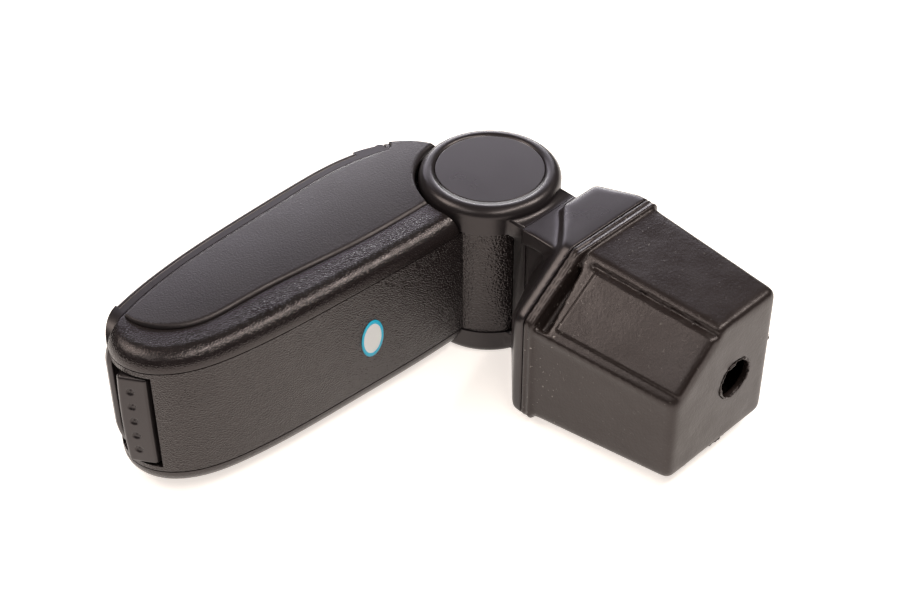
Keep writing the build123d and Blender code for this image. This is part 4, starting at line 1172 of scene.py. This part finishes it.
class ARMREST_OT_label(Operator):
    """Blank oval label on the underside, a film that follows the tray's surface"""

    bl_idname = "armrest.label"
    bl_label = "Underside label"

    AROUND = 72
    INNER_RINGS = 8
    # start of the rays to the tray, in millimetres below it
    BELOW = 10.0

    def execute(self, context):
        sizes = context.scene.armrest_sizes
        colours = context.scene.armrest_colours
        tray = surface_of("tray_shell")
        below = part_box("tray_shell")[1].y + self.BELOW * MM
        label = bmesh.new()

        def on_tray(x, z):
            place, out, _, _ = tray.ray_cast(Vector((x, below, z)), Vector((0, -1, 0)))
            if place is None:
                raise RuntimeError("the label lies beside the tray")
            return label.verts.new(place + out * sizes.label_thickness)

        rim_start = 1.0 - 2 * sizes.label_rim / sizes.label_width
        shares = [rim_start * i / self.INNER_RINGS for i in range(1, self.INNER_RINGS + 1)]
        shares += [(1 + rim_start) / 2, 1.0]
        angles = [2 * math.pi * i / self.AROUND for i in range(self.AROUND)]
        centre = on_tray(sizes.label_x, sizes.label_z)
        loops = [
            [
                on_tray(
                    sizes.label_x + share * sizes.label_width / 2 * math.cos(angle),
                    sizes.label_z + share * sizes.label_height / 2 * math.sin(angle),
                )
                for angle in angles
            ]
            for share in shares
        ]
        for i in range(self.AROUND):
            label.faces.new((centre, loops[0][i - 1], loops[0][i]))
            for inner, outer in zip(loops, loops[1:]):
                face = label.faces.new((inner[i - 1], outer[i - 1], outer[i], inner[i]))
                face.material_index = int(outer in loops[-2:])
        bmesh.ops.recalc_face_normals(label, faces=label.faces)
        mesh = raw_mesh(label, "underside_label")
        if mesh.polygons[0].normal.y < 0:
            mesh.flip_normals()
        # printed vinyl film: smooth, half glossy, a little uneven where it is stuck down
        for name, colour in (("white", colours.label), ("blue", colours.label_rim)):
            film = new_material(name + " vinyl film", colour, 5, (0.3, 0.4), clouds, 0.1, 0.1)
            mesh.materials.append(film)
        mesh.shade_smooth()
        piece = placed("underside_label", mesh)
        wall = piece.modifiers.new("film", "SOLIDIFY")
        wall.thickness = sizes.label_thickness
        wall.offset = -1.0
        piece.data = plain_mesh(piece)
        piece.modifiers.remove(wall)
        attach(piece, "armrest")
        return {"FINISHED"}


class ARMREST_OT_stage(Operator):
    """White floor, soft light and the camera"""

    bl_idname = "armrest.stage"
    bl_label = "Stage"

    # lamps: name, direction from the object, distance, width, height, brightness, colour
    AIM = Vector((0.08, 0.03, 0.07))
    LAMPS = (
        ("overhead strip", (-0.14, 0.42, 0.90), 1.3, 1.5, 0.10, 25.0, "fff8f0"),
        ("key softbox", (-0.534, 0.40, 0.745), 1.3, 0.3, 0.2, 18.0, "fff8f0"),
        ("left softbox", (0.643, 0.0, 0.766), 1.4, 0.5, 0.5, 2.5, "fffaf5"),
        ("left back softbox", (0.48, -0.465, 0.743), 1.4, 0.6, 0.6, 7.0, "fff4ea"),
        ("back sweep", (-0.53, -0.73, 0.44), 1.5, 1.5, 0.55, 2.8, "f2efff"),
        ("low back strip", (-0.69, -0.69, 0.21), 1.5, 0.9, 0.2, 12.0, "ffffff"),
    )
    LENS, SENSOR = 72.4, 36.0
    CAMERA_PLACE = (0.631, 0.606, 0.7615)
    CAMERA_FORWARD = Vector((-0.534, -0.534, -0.656))
    FLOOR_HALF, FLOOR_GAP, FLOOR_GLOW = 4.0, 0.2, 0.75
    # strength of the surroundings to the object and to the camera
    WORLD_LIGHT, WORLD_SEEN = 0.06, 1.0

    def execute(self, context):
        scene = context.scene
        scene.view_settings.view_transform = "Standard"
        self.floor()
        self.world(scene)
        for lamp in self.LAMPS:
            self.lamp(*lamp)
        lens = bpy.data.cameras.new("camera")
        lens.lens = self.LENS
        lens.sensor_width = self.SENSOR
        scene.camera = placed("camera", lens)
        scene.camera.location = self.CAMERA_PLACE
        self.turn(scene.camera, self.CAMERA_FORWARD)
        return {"FINISHED"}

    def turn(self, thing, forward):
        """Turn a lamp or camera to look in a direction."""
        thing.rotation_mode = "QUATERNION"
        thing.rotation_quaternion = forward.to_track_quat("-Z", "Y")

    def floor(self):
        """A wide pale floor that shows white to the camera and keeps the shadow."""
        mesh = bpy.data.meshes.new("floor")
        half = self.FLOOR_HALF
        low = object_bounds()[0].z - self.FLOOR_GAP * MM
        edge = [(-half, -half, low), (half, -half, low), (half, half, low), (-half, half, low)]
        mesh.from_pydata(edge, [], [(0, 1, 2, 3)])
        material = bpy.data.materials.new("white paper")
        material.use_nodes = True
        tree = material.node_tree
        tree.nodes.clear()
        path = add_node(tree, "ShaderNodeLightPath").outputs
        seen = path["Is Camera Ray"]
        for ray in ("Is Glossy Ray", "Is Transmission Ray"):
            seen = add_node(tree, "ShaderNodeMath", {0: seen, 1: path[ray]}, operation="MAXIMUM")
        glow = {0: seen, 1: self.FLOOR_GLOW}
        strength = add_node(tree, "ShaderNodeMath", glow, operation="MULTIPLY")
        paper = add_node(tree, "ShaderNodeBsdfDiffuse", {"Color": linear("f0ede9")})
        shine = {"Color": linear("fff6ef"), "Strength": strength}
        both = {0: paper, 1: add_node(tree, "ShaderNodeEmission", shine)}
        surface = add_node(tree, "ShaderNodeAddShader", both)
        add_node(tree, "ShaderNodeOutputMaterial", {"Surface": surface})
        mesh.materials.append(material)
        placed("floor", mesh)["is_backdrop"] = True

    def world(self, scene):
        """Even white surroundings, brighter to the camera than to the object."""
        world = bpy.data.worlds.new("white studio")
        world.use_nodes = True
        tree = world.node_tree
        tree.nodes.clear()
        seen = add_node(tree, "ShaderNodeLightPath").outputs["Is Camera Ray"]
        glow = {"Value": seen, "To Min": self.WORLD_LIGHT, "To Max": self.WORLD_SEEN}
        strength = add_node(tree, "ShaderNodeMapRange", glow)
        white = {"Color": linear("ffffff"), "Strength": strength}
        shade = add_node(tree, "ShaderNodeBackground", white)
        add_node(tree, "ShaderNodeOutputWorld", {"Surface": shade})
        scene.world = world

    def lamp(self, name, direction, distance, width, height, brightness, colour):
        """A soft rectangular light in a direction from the object, with an even bright face."""
        light = bpy.data.lights.new(name, "AREA")
        light.shape = "RECTANGLE"
        light.size = width
        light.size_y = height
        light.energy = brightness * math.pi * width * height
        light.color = linear(colour)[:3]
        away = Vector(direction).normalized()
        lamp = placed(name, light)
        lamp.location = self.AIM + away * distance
        self.turn(lamp, -away)


class ARMREST_PT_sidebar(Panel):
    """Lists the armrest's colours, sizes and operators"""

    bl_idname = "ARMREST_PT_sidebar"
    bl_label = "Car centre armrest"
    bl_space_type = "VIEW_3D"
    bl_region_type = "UI"
    bl_category = "Armrest"

    def draw(self, context):
        for group in (context.scene.armrest_colours, context.scene.armrest_sizes):
            for name in group.__annotations__:
                self.layout.prop(group, name)
        for operator in OPERATORS:
            self.layout.operator(operator.bl_idname)


OPERATORS = (
    ARMREST_OT_finishes,
    ARMREST_OT_inlays,
    ARMREST_OT_latch_bar,
    ARMREST_OT_leaf_spring,
    ARMREST_OT_lid_lip,
    ARMREST_OT_soft_mouldings,
    ARMREST_OT_screws,
    ARMREST_OT_torn_edges,
    ARMREST_OT_lid_cushion,
    ARMREST_OT_lid_piping,
    ARMREST_OT_label,
    ARMREST_OT_stage,
)
CLASSES = (ArmrestColours, ArmrestSizes, *OPERATORS, ARMREST_PT_sidebar)


def register():
    """Register the classes and the scene's properties."""
    for kind in CLASSES:
        bpy.utils.register_class(kind)
    bpy.types.Scene.armrest_colours = PointerProperty(type=ArmrestColours)
    bpy.types.Scene.armrest_sizes = PointerProperty(type=ArmrestSizes)


def unregister():
    """Take the properties and classes back."""
    del bpy.types.Scene.armrest_sizes
    del bpy.types.Scene.armrest_colours
    for kind in reversed(CLASSES):
        bpy.utils.unregister_class(kind)


def main():
    """Build the looks in order."""
    register()
    bpy.ops.armrest.finishes()
    bpy.ops.armrest.inlays()
    bpy.ops.armrest.latch_bar()
    bpy.ops.armrest.leaf_spring()
    bpy.ops.armrest.lid_lip()
    bpy.ops.armrest.soft_mouldings()
    bpy.ops.armrest.screws()
    bpy.ops.armrest.torn_edges()
    bpy.ops.armrest.lid_cushion()
    bpy.ops.armrest.lid_piping()
    bpy.ops.armrest.label()
    bpy.ops.armrest.stage()


if __name__ == "__main__":
    main()
